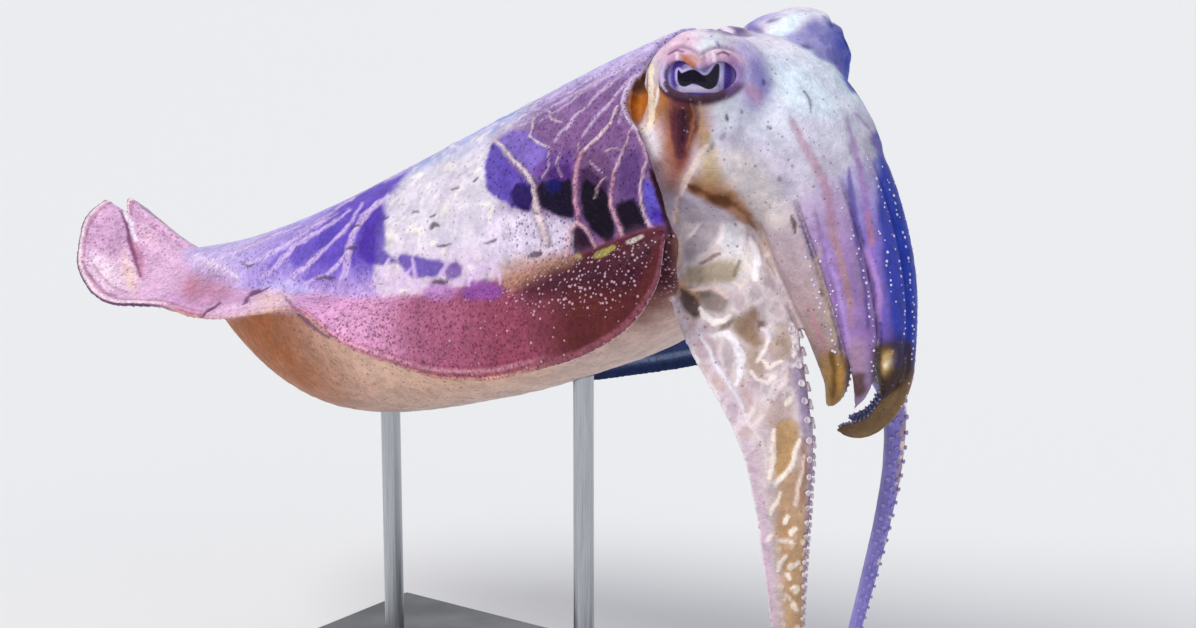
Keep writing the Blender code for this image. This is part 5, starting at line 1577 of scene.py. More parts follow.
FOLD_LINES = (  # creases there: the first row is a painted highlight on a fold's edge, and the darker rows are painted shade in the creases
    ("f6eaf6", 0.9, ((118, 201, 1.4), (126, 212, 2.4), (132, 228, 2.2), (136, 240, 1.4))),
    ("7a4a6c", 0.95, ((122, 212, 1.0), (126, 224, 1.8), (130, 240, 2.2), (135, 256, 2.0), (140, 276, 1.4))),
    ("a5799c", 0.8, ((83, 262, 0.8), (92, 278, 1.4), (106, 292, 1.4), (122, 299, 1.0))),
    ("b58cab", 0.7, ((88, 256, 0.7), (98, 272, 1.2), (112, 286, 1.2), (126, 293, 0.8))),
    ("a5799c", 0.6, ((96, 214, 0.7), (88, 230, 1.0), (84, 246, 0.7))),
    ("e9d6f0", 0.8, ((192, 254, 1.2), (206, 260, 1.8), (222, 268, 1.6), (240, 278, 1.2))),
    ("6a3f66", 0.95, ((201, 318, 1.2), (210, 309, 2.0), (221, 303, 1.2))),
    ("6a3f66", 0.95, ((243, 304, 1.2), (250, 296, 2.0), (258, 291, 1.8), (268, 288, 0.8))),
    ("86587e", 0.85, ((284, 296, 1.2), (296, 310, 1.8), (310, 324, 1.8), (328, 338, 1.2))),
)

BROWN_BAND = (
    (524, 286), (546, 276), (566, 266), (590, 256), (612, 252), (642, 243), (668, 236),
    (674, 252), (676, 284), (660, 292), (630, 290), (590, 290), (556, 294), (530, 298),
)
DOTTED_BAND = (
    (506, 288), (520, 276), (548, 264), (576, 256), (606, 250), (640, 242), (668, 236),
    (676, 256), (676, 288), (656, 304), (620, 306), (580, 308), (540, 312), (508, 308),
)
MAUVE_ZONE = (
    (498, 138), (540, 112), (590, 84), (636, 78), (632, 110), (640, 132),
    (652, 160), (650, 180), (612, 190), (575, 182), (540, 176), (515, 160),
)
PALE_ZONE = ((530, 212), (560, 220), (576, 228), (572, 250), (550, 258), (500, 262), (480, 240), (500, 214))
TAN_ZONE = ((498, 270), (516, 258), (540, 254), (568, 252), (574, 262), (552, 272), (528, 284), (506, 290))
OLIVE_MARKS = (
    ("a8a060", ((574, 254, 1.6), (580, 257, 2.0))),
    ("a09a4c", ((596, 256, 2.0), (604, 252, 4.0), (612, 247, 3.0))),
    ("cfc8bc", ((628, 242, 2.0), (634, 240, 2.8), (642, 237, 2.0))),
)


def in_picture(places):
    """Pixel places of points, as the camera sees them in the photograph's frame."""
    turn, lift = math.radians(VIEW_ROUND), math.radians(VIEW_UP)
    back = np.array((math.sin(turn) * math.cos(lift), -math.cos(turn) * math.cos(lift), math.sin(lift)))
    right = np.array((math.cos(turn), math.sin(turn), 0.0))
    offset = places - (np.array(VIEW_AT) + back * VIEW_FAR)
    focal = VIEW_FOCAL * PICTURE[0]
    depth = -(offset @ back)
    across = PICTURE[0] / 2 + focal * (offset @ right) / depth
    down = PICTURE[1] / 2 - focal * (offset @ np.cross(back, right)) / depth
    return np.stack([across, down], -1), back


def to_right(places, normals):
    """Places and normals on the left side brought over to the right, with the head's roll."""
    high = places[:, 2] - FRONT[2]
    head = smooth(places[:, 0], 66, 72) * smooth(high, 12, 26)
    roll = HEAD_ROLL * head
    plane = np.stack([0 * roll, np.cos(roll), np.sin(roll)], -1)
    offset = places - FRONT
    left = (offset * plane).sum(1) > 0
    turned = places - 2 * (offset * plane).sum(1)[:, None] * plane
    facing = normals - 2 * (normals * plane).sum(1)[:, None] * plane
    return np.where(left[:, None], turned, places), np.where(left[:, None], facing, normals), left


def stroke_share(spots, line, soft=0.9):
    """How much each pixel place lies on a line whose half width changes along it."""
    line = np.asarray(line, float)
    wide = line[:, 2].max() + soft
    low, high = line[:, :2].min(0) - wide, line[:, :2].max(0) + wide
    near = np.flatnonzero(((spots > low) & (spots < high)).all(1))
    share = np.zeros(len(spots))
    for start, stop in zip(line, line[1:]):
        run = stop[:2] - start[:2]
        offset = spots[near] - start[:2]
        at = np.clip(offset @ run / (run @ run), 0, 1)
        far = np.linalg.norm(offset - at[:, None] * run, axis=1)
        half = start[2] + (stop[2] - start[2]) * at
        share[near] = np.maximum(share[near], 1 - smooth(far, half - soft, half + soft))
    return share


def patch_share(spots, outline, soft):
    """How much each pixel place lies inside an outline with a soft edge."""
    outline = closed_curve(outline, 4)
    low, high = outline.min(0) - soft, outline.max(0) + soft
    near = np.flatnonzero(((spots > low) & (spots < high)).all(1))
    share = np.zeros(len(spots))
    share[near] = 1 - smooth(outside(spots[near], outline), -soft, soft)
    return share


def nearest_on(grids, places):
    """The number of the grid that each place is nearest to, and its row and column there with fractions."""
    tree = kdtree.KDTree(sum(grid.shape[0] * grid.shape[1] for grid, _ in grids))
    owners, rows, columns = [], [], []
    count = 0
    for number, (grid, _) in enumerate(grids):
        for point in grid.reshape(-1, 3):
            tree.insert(point, count)
            count += 1
        row, column = np.divmod(np.arange(grid.shape[0] * grid.shape[1]), grid.shape[1])
        owners.append(np.full(len(row), number))
        rows.append(row)
        columns.append(column)
    tree.balance()
    owners, rows, columns = (np.concatenate(value) for value in (owners, rows, columns))
    found = np.array([tree.find(place)[1] for place in places])
    owner, row, column = owners[found], rows[found].astype(float), columns[found].astype(float)
    for number, (grid, closed) in enumerate(grids):
        mine = np.flatnonzero(owner == number)
        if grid.shape[0] < 3 or not len(mine):
            continue
        down = np.gradient(grid, axis=0)
        if closed:
            across = (np.roll(grid, -1, 1) - np.roll(grid, 1, 1)) / 2
        else:
            across = np.gradient(grid, axis=1)
        i, j = row[mine].astype(int), column[mine].astype(int)
        offset = places[mine] - grid[i, j]
        for way, value in ((down, row), (across, column)):
            step = way[i, j]
            ahead = (offset * step).sum(1) / np.maximum((step * step).sum(1), 1e-9)
            value[mine] += np.clip(ahead, -0.5, 0.5)
    return owner, row, column


def spread(piece, values, passes):
    """Values averaged with those of the neighbouring points of the mesh."""
    a, b = edges_of(piece).T
    count = len(values)
    around = np.bincount(a, minlength=count) + np.bincount(b, minlength=count)
    for _ in range(passes):
        total = np.bincount(a, values[b], count) + np.bincount(b, values[a], count)
        values = 0.5 * values + 0.5 * total / np.maximum(around, 1)
    return values


# Colours of the skin: each row has a colour, its strength and, for each way that the table's comment names,
# two values between which the colour comes in and two between which it goes out again
ALL = (None, None)
MANTLE_BACK = (  # station along the mantle, degrees round it from the back's middle line
    ("a893da", 1.0, (None, (-74, -66)), ALL),
    ("bdb6ee", 1.0, (None, (-74, -66)), (None, (12, 42))),
    ("c6abd8", 1.0, (None, (-74, -66)), ((74, 96), None)),
    ("5a40b6", 0.9, ((-118, -92), (-74, -66)), ((16, 30), (68, 84))),
    ("c9bbe4", 0.7, (None, (-150, -118)), ALL),
    ("d6d0dc", 1.0, ((-74, -66), (-26, -12)), ALL),
    ("dccbe0", 1.0, ((-74, -66), (-26, -12)), ((66, 84), None)),
    ("93a8e0", 1.0, ((-74, -66), (-26, -12)), (None, (16, 42))),
    ("9a84ba", 1.0, ((-30, -14), None), ALL),
    ("6f4a7c", 0.85, ((-30, -14), None), ((34, 54), None)),
    ("d2c6f2", 0.85, ((-30, -14), None), (None, (12, 38))),
)
MANTLE_BELLY = (  # the same ways
    # the belly's peach, painted lighter as light to offset the underside's shade
    ("f6ccb2", 0.85, ((-120, -70), (-60, -10)), ALL),
    ("dcc0b4", 0.8, ((-50, -20), None), ALL),
    ("7a4a44", 0.92, ((-20, 4), None), (None, (125, 155))),
    ("eed6ca", 0.75, ((-150, -90), None), ((132, 172), None)),
)
FIN_COLOURS = (  # station along the mantle
    ("cf9fca", 1.0, ALL),
    ("ddb6d6", 1.0, (None, (-178, -158))),
    ("dca2ca", 1.0, ((-108, -84), None)),
    ("a05c78", 1.0, ((-84, -48), None)),
    ("8e475c", 1.0, ((-50, -24), None)),
    ("54251f", 0.95, ((-24, 0), None)),
)
HEAD_COLOURS = (  # forward, to the left and up from the mantle's front
    ("c9c4d4", 1.0, ALL, ALL, ALL),
    ("dfe5f2", 0.85, ((20, 40), None), ALL, ((12, 30), None)),
    ("cdc2c2", 0.75, ALL, ALL, (None, (-12, 12))),
    # painted shade: the next two rows turn the left side toward the far side's blue
    ("5f6cc8", 0.85, ((24, 40), None), ((4, 22), None), ALL),
    ("a9a2d2", 0.5, ALL, ((6, 20), None), ALL),
    ("e3d6e4", 0.7, ALL, ALL, ((38, 47), None)),
)
UPPER_ARM_COLOURS = {  # of the upper and the lower half of the first, second and third arm, by side; the left side's blues are painted shade
    -1: (("8878cc", "6453b4"), ("a486ba", "9573b0"), ("b9a6ae", "ab9288")),
    1: (("2e42bc", "3438a4"), ("2438a8", "28349c"), ("4654ac", "4650a4")),
}
UPPER_ARM_TIPS = ("5c4a3c", "a088a8", "97703c")
FOURTH_COLOURS = {  # by side: share of the lowest arm's length, and from -1 at its keel to 1 at its suckers
    -1: (
        ("cdbfc2", 1.0, ALL, ALL),
        ("bf9f86", 0.8, ((0.4, 0.6), None), ((-0.7, 0.0), None)),
        ("c49e6c", 0.75, ((0.42, 0.62), None), ((-0.3, 0.2), (0.75, 0.95))),
        ("cdb4c6", 0.8, ALL, (None, (-0.75, -0.45))),
        ("f0e9ee", 0.85, ALL, (None, (-0.97, -0.9))),
        ("8a6c9e", 0.8, ((0.3, 0.4), (0.62, 0.75)), ((0.8, 0.93), None)),
    ),
    1: (
        # painted shade: the left arm's blue-violet rows, with its own pinkish-beige on the last row
        ("a19ce0", 1.0, ALL, ALL),
        ("bdbaf2", 0.8, ALL, (None, (-0.9, -0.3))),
        ("7a72c4", 0.6, ALL, ((0.2, 0.8), None)),
        ("d2b8c2", 0.7, ((0.3, 0.4), (0.5, 0.62)), (None, (-0.5, 0.1))),
    ),
}
FIN_LINE = (1.5, 2.2)  # distances from the margin between which the pale line runs
FIN_INNER = 9.0  # distance from the margin that the skin beside the fins counts as
RAGGED = 2.0  # pixels by which the marks' outlines wander
FACING = (0.02, 0.2)  # how far the skin has to face the camera for a mark to start and to be whole
RAGGED_GRAIN = 2.6
FLECK_GRAIN = 1.3
FIRST_TINT = "d8d0dc"
FIRST_SPOT = "6a5a78"
FIRST_SPECKLE = 0.2
FLECKED_EDGE = 2  # added softness of a patch whose edge breaks up, in pixels
FLECKED = 0.2
FLECKED_LEVELS = (0.22, 0.78)
FUNNEL_COLOUR = "d8cad2"
CURL_COLOURS = (("80663c", 0.92), ("54719c", 0.92))  # first and second left arm
FAR_BLUE_SHADE_STRENGTH = 0.85
FAR_BLUE_SHADE_SOFT = 4
POCKET_RIM_COLOUR = ("dccbe6", 0.8)
POCKET_RIM_HIGH = 0.5
FOLD_DEEP = -0.2
HEAD_LINE_DEEP = -0.08
FOURTH_LINE_HIGH = 0.25
FOURTH_STRENGTH = 0.9
FRONT_STREAK = (0.6, 3.0)  # strength and softness
FAR_SIDE = (2, 8)  # places to the left between which the far side's marks come in
FAR_MOTTLE = ("8e8ac6", 0.4)
LID_REACH = 26.0  # distance from an eye's centre within which its lids are painted
NO_LID = 50.0  # distance from the opening's edge that all other skin counts as
TIP_LEVELS = (-34.0, -26.0)  # heights between which the upper arms' tips start
CURL_LEVELS = (-44.0, -36.0)  # heights between which the left arms' curled ends start


class Coat:
    """Colours and relief of the skin, kept as one value for each of its points."""

    def __init__(self, skin, grids):
        self.skin = skin
        self.owner, self.row, self.column = nearest_on(grids, points_of(skin))
        for some, others in SEAMS:
            soften_seam(skin, self.owner, some, others)
        self.places = points_of(skin)
        flat = np.empty(len(self.places) * 3)
        skin.data.vertices.foreach_get("normal", flat)
        self.normals = flat.reshape(-1, 3)
        right, facing, self.left = to_right(self.places, self.normals)
        self.spots, back = in_picture(right)
        ragged = np.stack([cloud(self.places, RAGGED_GRAIN, seed, 2) for seed in (101, 107)], -1)
        self.spots += RAGGED * ragged
        self.shown = smooth(facing @ back, *FACING)
        self.far_spots = in_picture(self.places)[0]
        self.far_shown = smooth(self.normals @ back, *FACING) * self.left
        self.offset = self.places - FRONT
        cosine, sine = math.cos(MANTLE_PITCH), math.sin(MANTLE_PITCH)
        self.along = self.offset[:, 0] * cosine + self.offset[:, 2] * sine
        high = self.offset[:, 2] * cosine - self.offset[:, 0] * sine
        top, under, wide, half = mantle_sizes(np.clip(self.along, *MANTLE_SPAN))
        rise = high - wide
        rise /= np.where(rise > 0, top - wide, wide - under)
        self.fold = np.degrees(np.arctan2(np.abs(self.offset[:, 1]) / half, rise))
        self.tint = np.ones((len(self.places), 3)) * hue(FIRST_TINT)
        self.spot = np.ones((len(self.places), 3)) * hue(FIRST_SPOT)
        self.speckle = np.full(len(self.places), FIRST_SPECKLE)
        self.bead = np.zeros(len(self.places))
        self.relief = np.zeros(len(self.places))
        self.grain = cloud(self.places, FLECK_GRAIN, 131, 2)

    def weight(self, *numbers, passes=4):
        """How much each point belongs to the given forms, with a soft border."""
        return spread(self.skin, np.isin(self.owner, numbers).astype(float), passes)

    def paint(self, code, share):
        self.tint = mixed(self.tint, hue(code), np.clip(share, 0, 1))

    def paint_rows(self, rows, mask, *ways):
        """Paints rows of a colour, its strength and where it comes in and goes out along each way."""
        for code, strength, *limits in rows:
            share = strength * mask
            for value, (start, stop) in zip(ways, limits):
                share = share * between(value, start, stop)
            self.paint(code, share)

    def fleck(self, code, amount, share):
        """Colour of the pigment dots and the share of the skin that has them."""
        self.spot = mixed(self.spot, hue(code), share)
        self.speckle = self.speckle + (amount - self.speckle) * share

    def stroke(self, code, strength, line, mask, relief=0.0, soft=0.9):
        share = stroke_share(self.spots, line, soft) * mask * self.shown
        self.paint(code, share * strength)
        self.relief += relief * share

    def patch(self, code, strength, outline, soft, mask, relief=0.0):
        share = patch_share(self.spots, outline, soft) * mask * self.shown
        self.paint(code, share * strength)
        self.relief += relief * share
        return share

    def broken(self, code, strength, outline, soft, mask, relief=0.0):
        """A patch whose edge breaks up into flecks."""
        share = patch_share(self.spots, outline, soft + FLECKED_EDGE) + FLECKED * self.grain
        share = smooth(share, *FLECKED_LEVELS) * mask * self.shown
        self.paint(code, share * strength)
        self.relief += relief * share
        return share

    def strokes(self, rows, mask, relief=0.0):
        for code, strength, line in rows:
            self.stroke(code, strength, line, mask, relief)

    def soft_strokes(self, rows, mask):
        for code, strength, soft, line in rows:
            self.stroke(code, strength, line, mask, soft=soft)

    def patches(self, rows, mask, relief=0.0):
        for code, strength, soft, outline in rows:
            self.patch(code, strength, outline, soft, mask, relief)

    def far_patches(self, rows, mask):
        """Patches on the left side, at the places where the camera sees them."""
        for code, strength, soft, outline in rows:
            self.paint(code, strength * mask * patch_share(self.far_spots, outline, soft))


def paint_mantle(coat, mask):
    along = coat.along + 4 * cloud(coat.places, 9, 3, 2)
    fold = coat.fold + 5 * cloud(coat.places, 7, 9, 2)
    upper = mask * (1 - smooth(fold, 94, 101))
    pale = upper * between(along, (-74, -66), (-26, -12))
    coat.paint_rows(MANTLE_BACK, upper, along, fold)
    coat.fleck("574888", 0.42, upper)
    coat.fleck("9a90a0", 0.1, pale)
    cream = smooth(cloud(coat.places, 2.4, 71, 2), 0.15, 0.5)
    coat.paint("f2ece2", 0.75 * pale * cream)
    coat.paint("b9a9c8", 0.45 * pale * smooth(cloud(coat.places, 5.5, 77, 3), 0.12, 0.5))
    coat.relief += 0.25 * pale * cream
    coat.fleck("4d2f6c", 0.55, upper * smooth(along, -30, -14))
    lower = mask * smooth(coat.fold, 95, 98)
    coat.paint("e0bfae", lower)
    coat.paint("b26c3e", lower * (1 - smooth(along, -132, -80)) * (1 - 0.55 * smooth(fold, 120, 175)))
    coat.paint_rows(MANTLE_BELLY, lower, along, fold)
    coat.fleck("94552e", 0.2, lower * (1 - smooth(along, -80, -40)))
    coat.fleck("a4786c", 0.08, lower * smooth(along, -80, -40))


def paint_mantle_marks(coat, mask, both):
    """both also covers the fins, where a mark runs over their roots."""
    coat.patch("7f5a8a", 0.75, MAUVE_ZONE, 10, mask)
    coat.patch("ddd3e6", 0.9, PALE_ZONE, 8, mask)
    coat.patch("bf9874", 0.6, TAN_ZONE, 9, both)
    band = coat.patch("451d2c", 0.95, BROWN_BAND, 11, both)
    coat.fleck("1c0a16", 0.5, band)
    dotted = patch_share(coat.spots, DOTTED_BAND, 12) * both * coat.shown
    coat.bead = np.maximum(coat.bead, dotted)
    for code, soft, outline in ROOT_BLOTCHES:
        coat.broken(code, 0.88, outline, soft, both)
    # the last of these are a painted highlight and a painted shadow at the mantle's front edge
    for code, soft, outline in BLOTCHES:
        share = coat.broken(code, 0.97, outline, soft, mask, relief=-0.1)
        coat.fleck("0d0620", 0.3, share)
    for code, line in OLIVE_MARKS:
        coat.stroke(code, 0.85, line, both)
    patchy = 0.8 + 0.2 * cloud(coat.places, 3.0, 33, 2)
    for line in STREAKS:
        coat.stroke("ddc4ea", 0.85, line, both * patchy, relief=0.2, soft=1.2)
    for line in STRIAE:
        coat.stroke("dcc8e2", 0.7, line, mask * patchy, relief=0.15, soft=1.3)
    for code, line in VEINS:
        shade, body, shine = (
            [(across + shift, down, wide * share) for across, down, wide in line]
            for share, shift in VEIN_PARTS
        )
        # a painted shadow beside each raised vein, its body, and a painted highlight along its middle
        coat.stroke("4c2246", 0.5, shade, mask, soft=1.4)
        coat.stroke(code, 0.88, body, mask * patchy, relief=0.3)
        coat.stroke("f3e4e6", 0.5, shine, mask * patchy, soft=1.2)
    for line in DARK_MARKS:
        coat.stroke("4d3f4e", 0.85, line, both, relief=-0.1)


def paint_fins(coat, mask, width):
    """width is the fin's own width at each point, so that the margin's lines keep their distance."""
    on_fin = np.isin(coat.owner, FIN_FORMS)
    inward = np.where(on_fin, (1 - coat.column / FIN_GRID[1]) * width, FIN_INNER)
    inward = spread(coat.skin, inward, 1)
    along = coat.along + 4 * cloud(coat.places, 10, 21, 2)
    coat.paint_rows(FIN_COLOURS, mask, along)
    coat.paint("54222f", 0.85 * mask * smooth(along, -50, -18) * (1 - smooth(width - inward, 4, 16)))
    coat.fleck("64203e", 0.85, mask * smooth(along, -130, -80))
    coat.fleck("8c5a86", 0.4, mask * (1 - smooth(along, -130, -80)))
    coat.bead = np.maximum(coat.bead, 0.08 * mask * smooth(along, -60, -30))
    start, stop = FIN_LINE
    tail = 1 - smooth(coat.along, -176, -150)
    line = between(inward, (start - 0.25, start + 0.25), (stop - 0.3, stop + 0.4))
    rim = 1 - smooth(along, -30, -8)
    dark = between(inward, (stop, stop + 0.5), (stop + 0.6, stop + 1.2))
    coat.paint("8c3c52", 0.5 * mask * dark * rim)
    coat.paint("d29aa6", 0.65 * mask * line * rim)
    edge = mask * (1 - smooth(inward, start - 0.3, start + 0.2))
    coat.paint("8f5560", 0.75 * edge * (1 - tail))
    coat.paint("d9a48c", 0.7 * edge * (1 - tail) * rim * smooth(inward, 0.9, 0.6))
    coat.paint("f6e4ec", 0.85 * mask * tail * between(inward, (0.5, 0.9), (1.2, 2.4)))
    coat.paint("4a2c4c", 0.95 * mask * tail * (1 - smooth(inward, 0.45, 0.85)))
    coat.relief += 0.15 * mask * line * rim
    return inward


def paint_fin_underside(coat, mask, inward):
    """The right fin's lower face is pale, and the left fin's lower face is painted blue as shade, darker at
    the margin, with a pale line.
    """
    out = np.where(coat.left, coat.normals[:, 1], -coat.normals[:, 1])
    under = mask * smooth(-(coat.normals[:, 2] + 0.9 * out), 0.0, 0.35)
    coat.paint("ecd8de", 0.8 * under * ~coat.left)
    shade = under * coat.left * smooth(coat.along, -130, -95)
    coat.paint("2f5590", 0.92 * shade)
    coat.paint("1d3260", 0.9 * shade * (1 - smooth(inward, 1.2, 2.0)))
    coat.paint("9db8e0", 0.8 * shade * between(inward, (1.9, 2.3), (2.7, 3.3)))
    coat.fleck("24406f", 0.3, shade)


def paint_head(coat, mask):
    coat.paint_rows(HEAD_COLOURS, mask, *coat.offset.T)
    coat.paint("b9a4ba", 0.2 * mask * smooth(cloud(coat.places, 7, 51, 3), 0.05, 0.5))
    coat.fleck("857d96", 0.05, mask)


def paint_lids(coat, mask):
    """The rolled rim of the eye's opening, painted shade in the crease above it and painted shade below it.
    """
    for side in (-1, 1):
        look, level, rise = eye_axes(side)
        offset = coat.places - head_place(EYE_PLACE, side)
        near = np.flatnonzero((np.linalg.norm(offset, axis=1) < LID_REACH) & (offset @ look > 0))
        flat = np.stack([offset[near] @ level, offset[near] @ rise], -1)
        edge = np.full(len(coat.places), NO_LID)
        edge[near] = outside(flat, opening_outline())
        back, high, thick = (np.zeros(len(edge)) for _ in range(3))
        back[near], high[near] = flat.T
        thick[near] = (np.linalg.norm(offset[near], axis=1) - EYE_RADIUS) / (GAP + LID_THICK)
        here = mask * (edge < NO_LID - 1)
        rim = here * (1 - smooth(edge, 0.5, 1.3))
        coat.paint("9c7fb8", 0.8 * rim)
        coat.paint("d3a6bf", 0.75 * here * (1 - smooth(edge, 1.4, 4.2)) * smooth(high, 1.5, 4.0))
        coat.paint("cdbfe6", 0.8 * rim * smooth(-high, 1.8, 3.6) * (1 - smooth(edge, 0.5, 0.9)))
        # painted shade below the lower lid
        low = smooth(-high, 0.8, 3.0) * (1 - smooth(edge, 1.3, 2.9))
        coat.paint("371426", 0.95 * here * low * smooth(thick, 0.5, 0.72))
        front = smooth(-back, 6.0, 8.0) * smooth(thick, 0.6, 0.8) * (1 - smooth(edge, 1.0, 2.4))
        coat.paint("7a5c9c", 0.5 * here * front)
        lobe = here * (1 - smooth(np.hypot((back - 2.2) / 3.2, (high - 3.4) / 2.0), 0.5, 1.15))
        coat.paint("b0703e", 0.6 * lobe)
        # painted shade in the sunk crease above the upper lid
        crease = between(edge, (2.6, 3.3), (3.5, 4.4)) * smooth(high, 2.0, 4.5)
        crease = crease * (1 - smooth(np.abs(back), 8, 11))
        coat.paint("8a5f88", 0.6 * here * crease)
        coat.relief += 0.55 * here * (1 - smooth(edge, 0.8, 2.6)) - 0.5 * here * crease
        coat.relief += 0.35 * here * between(edge, (4.2, 5.6), (6.5, 9.0)) * smooth(high, 0, 4)


def paint_upper_arm(coat, side, number):
    """The arm's two colours, painted shade in the grooves along its edges, and its brown tip."""
    mask = coat.weight(ARM_FORMS[side][number - 1], passes=3)
    end = ARM_END[side][number]
    start = ARM_ROOT - ARM_ROOT_SUNK
    share = start + (end - start) * coat.row / (ARM_GRID[0] - 1)
    down = smooth(share, 0.04, 0.42)
    top, low = UPPER_ARM_COLOURS[side][number - 1]
    # painted shade: the left arms' roots blue, like the far side of the head
    if side > 0:
        coat.paint("5f6cc8", 0.8 * mask * (1 - down))
    coat.paint(top, mask * down)
    coat.paint(low, mask * smooth(share, 0.3, 0.8))
    position = coat.column % len(ARM_OUTLINE)
    across = np.abs(position - 3) / 3
    groove = mask * smooth(across, 0.62, 0.98) * smooth(share, 0.12, 0.32)
    if number == 3:
        rear = (position > 3) & (position < 7.5)
        coat.paint("e0cfa6", 0.85 * groove * rear * (1 - smooth(share / end, 0.6, 0.8)))
        coat.paint("8a6036", 0.85 * groove * rear * smooth(across, 0.9, 1.0))
        groove = groove * ~rear
    # painted shade in the grooves between neighbouring arms
    coat.paint("3b2870", 0.9 * groove)
    coat.paint(UPPER_ARM_TIPS[number - 1], 0.9 * mask * smooth(share / end, 0.74, 0.96))
    coat.paint("cdbcc4", 0.8 * mask * smooth(across, 1.3, 1.8))
    coat.fleck("6f5f7c", 0.06, mask)


def paint_flesh_pattern(coat, mask, share, front):
    """Raised pale spots on the right lowest arm's lower half, and a net of pale ridges on its upper half."""
    spots = smooth(cells_of(coat.places * (1, 1, 0.7), 2.6, 47)[0], 0.42, 0.26)
    low = smooth(share, 0.5, 0.62) * smooth(front, -0.5, 0.1)
    coat.paint("f6e6cc", 0.85 * mask * spots * low)
    coat.relief += 0.3 * mask * spots * low
    bent = coat.places + 1.6 * cloud(coat.places, 5, 43)[:, None]
    near, second, number = cells_of(bent * (1, 1, 0.55), 4.6, 41)
    ridge = 1 - smooth(second - near, 0.06, 0.26)
    field = mask * between(share, (0.06, 0.16), (0.4, 0.6))
    coat.paint("b9aab0", 0.4 * field * (1 - ridge) * smooth(number, 0.3, 0.6))
    coat.paint("c4ae8e", 0.4 * field * (1 - ridge) * (1 - smooth(number, 0.2, 0.4)))
    coat.paint("f0e8e6", 0.4 * field * ridge)
    coat.relief += 0.2 * field * ridge


def paint_fourth_arm(coat, side):
    mask = coat.weight(FOURTH_FORMS[side], passes=3)
    share = coat.row / (FOURTH_GRID[0] - 1)
    front = np.cos(ring_angles(FOURTH_GRID[1]))[np.round(coat.column).astype(int) % FOURTH_GRID[1]]
    front = np.where(np.isin(coat.owner, tuple(FOURTH_FORMS.values())), front, 0)
    coat.paint_rows(FOURTH_COLOURS[side], mask, share, front)
    if side < 0:
        paint_flesh_pattern(coat, mask, share, front)
    coat.fleck("8a7466", 0.05, mask)


def paint_tips(coat):
    """Brown ends of the upper arms. Those of the left arms curl below the others."""
    arms = coat.weight(*ARM_FORMS[-1], *ARM_FORMS[1], passes=3)
    ends, curled = (1 - smooth(coat.offset[:, 2], *levels) for levels in (TIP_LEVELS, CURL_LEVELS))
    coat.patches(TIP_PATCHES, arms * ends * ~coat.left)
    left_arms = [coat.weight(form, passes=3) for form in ARM_FORMS[1][:2]]
    for mine, (code, strength) in zip(left_arms, CURL_COLOURS):
        coat.paint(code, strength * mine * curled)
    coat.far_patches(FAR_TIP_PATCHES, left_arms[0])


def make_coat(skin, grids, fin_widths):
    coat = Coat(skin, grids)
    mantle = coat.weight(MANTLE_FORM)
    fins = coat.weight(*FIN_FORMS)
    head = coat.weight(*HEAD_FORMS, passes=8)
    upper = coat.weight(*HEAD_FORMS, *ARM_FORMS[-1], *ARM_FORMS[1])
    width = np.ones(len(coat.places))
    for number, widths in fin_widths.items():
        mine = coat.owner == number
        width[mine] = np.interp(coat.row[mine], np.arange(len(widths)), widths)
    paint_mantle(coat, mantle)
    soft_fins = coat.weight(*FIN_FORMS, passes=30)
    inward = paint_fins(coat, soft_fins, width)
    paint_head(coat, upper)
    coat.paint(FUNNEL_COLOUR, coat.weight(FUNNEL_FORM))
    for side in (-1, 1):
        for number in ARM_TURN:
            paint_upper_arm(coat, side, number)
    for side in (-1, 1):
        paint_fourth_arm(coat, side)
    both = np.clip(mantle + fins * smooth(inward, 2.5, 6), 0, 1)
    paint_mantle_marks(coat, mantle * (1 - soft_fins), both)
    hem = np.clip(mantle + fins, 0, 1)
    coat.patches(TAIL_PATCHES, hem)
    coat.strokes(FOLD_LINES, hem, relief=FOLD_DEEP)
    paint_fin_underside(coat, fins, inward)
    # HEAD_PATCHES also paint shade in the crease under the cheek
    coat.patches(HEAD_PATCHES, upper)
    # painted shade: the far arms' deep blue, on both sides where the camera sees those places
    blue, outline = FAR_BLUE_SHADE
    coat.patch(blue, FAR_BLUE_SHADE_STRENGTH, outline, FAR_BLUE_SHADE_SOFT, upper * ~coat.left)
    far_blue_shade = patch_share(coat.far_spots, outline, FAR_BLUE_SHADE_SOFT)
    coat.paint(blue, FAR_BLUE_SHADE_STRENGTH * upper * coat.far_shown * far_blue_shade)
    paint_lids(coat, head)
    neck = np.clip(head + mantle, 0, 1)
    coat.patches(POCKET, neck, relief=POCKET_DEEP)
    coat.stroke(*POCKET_RIM_COLOUR, POCKET_RIM, neck, relief=POCKET_RIM_HIGH)
    strength, soft = FRONT_STREAK
    for code, line in STREAKS_FRONT:
        coat.stroke(code, strength, line, upper, soft=soft)
    coat.soft_strokes(ARM_LINES, upper)
    coat.strokes(HEAD_LINES, head, relief=HEAD_LINE_DEEP)
    fourth = coat.weight(*FOURTH_FORMS.values(), passes=3)
    coat.patches(FOURTH_PATCHES, FOURTH_STRENGTH * fourth)
    coat.strokes(FOURTH_LINES, fourth, relief=FOURTH_LINE_HIGH)
    paint_tips(coat)
    coat.strokes(ARM_MARKS, upper)
    # the far orbit's marks include painted blue shade at its rim
    far = head * smooth(coat.places[:, 1], *FAR_SIDE)
    coat.far_patches(FAR_ORBIT_MARKS, far)
    mottle = smooth(cloud(coat.places, 2.6, 87, 3), 0.1, 0.45) * smooth(coat.offset[:, 1], 14, 24)
    coat.paint(FAR_MOTTLE[0], FAR_MOTTLE[1] * far * mottle)
    return coat


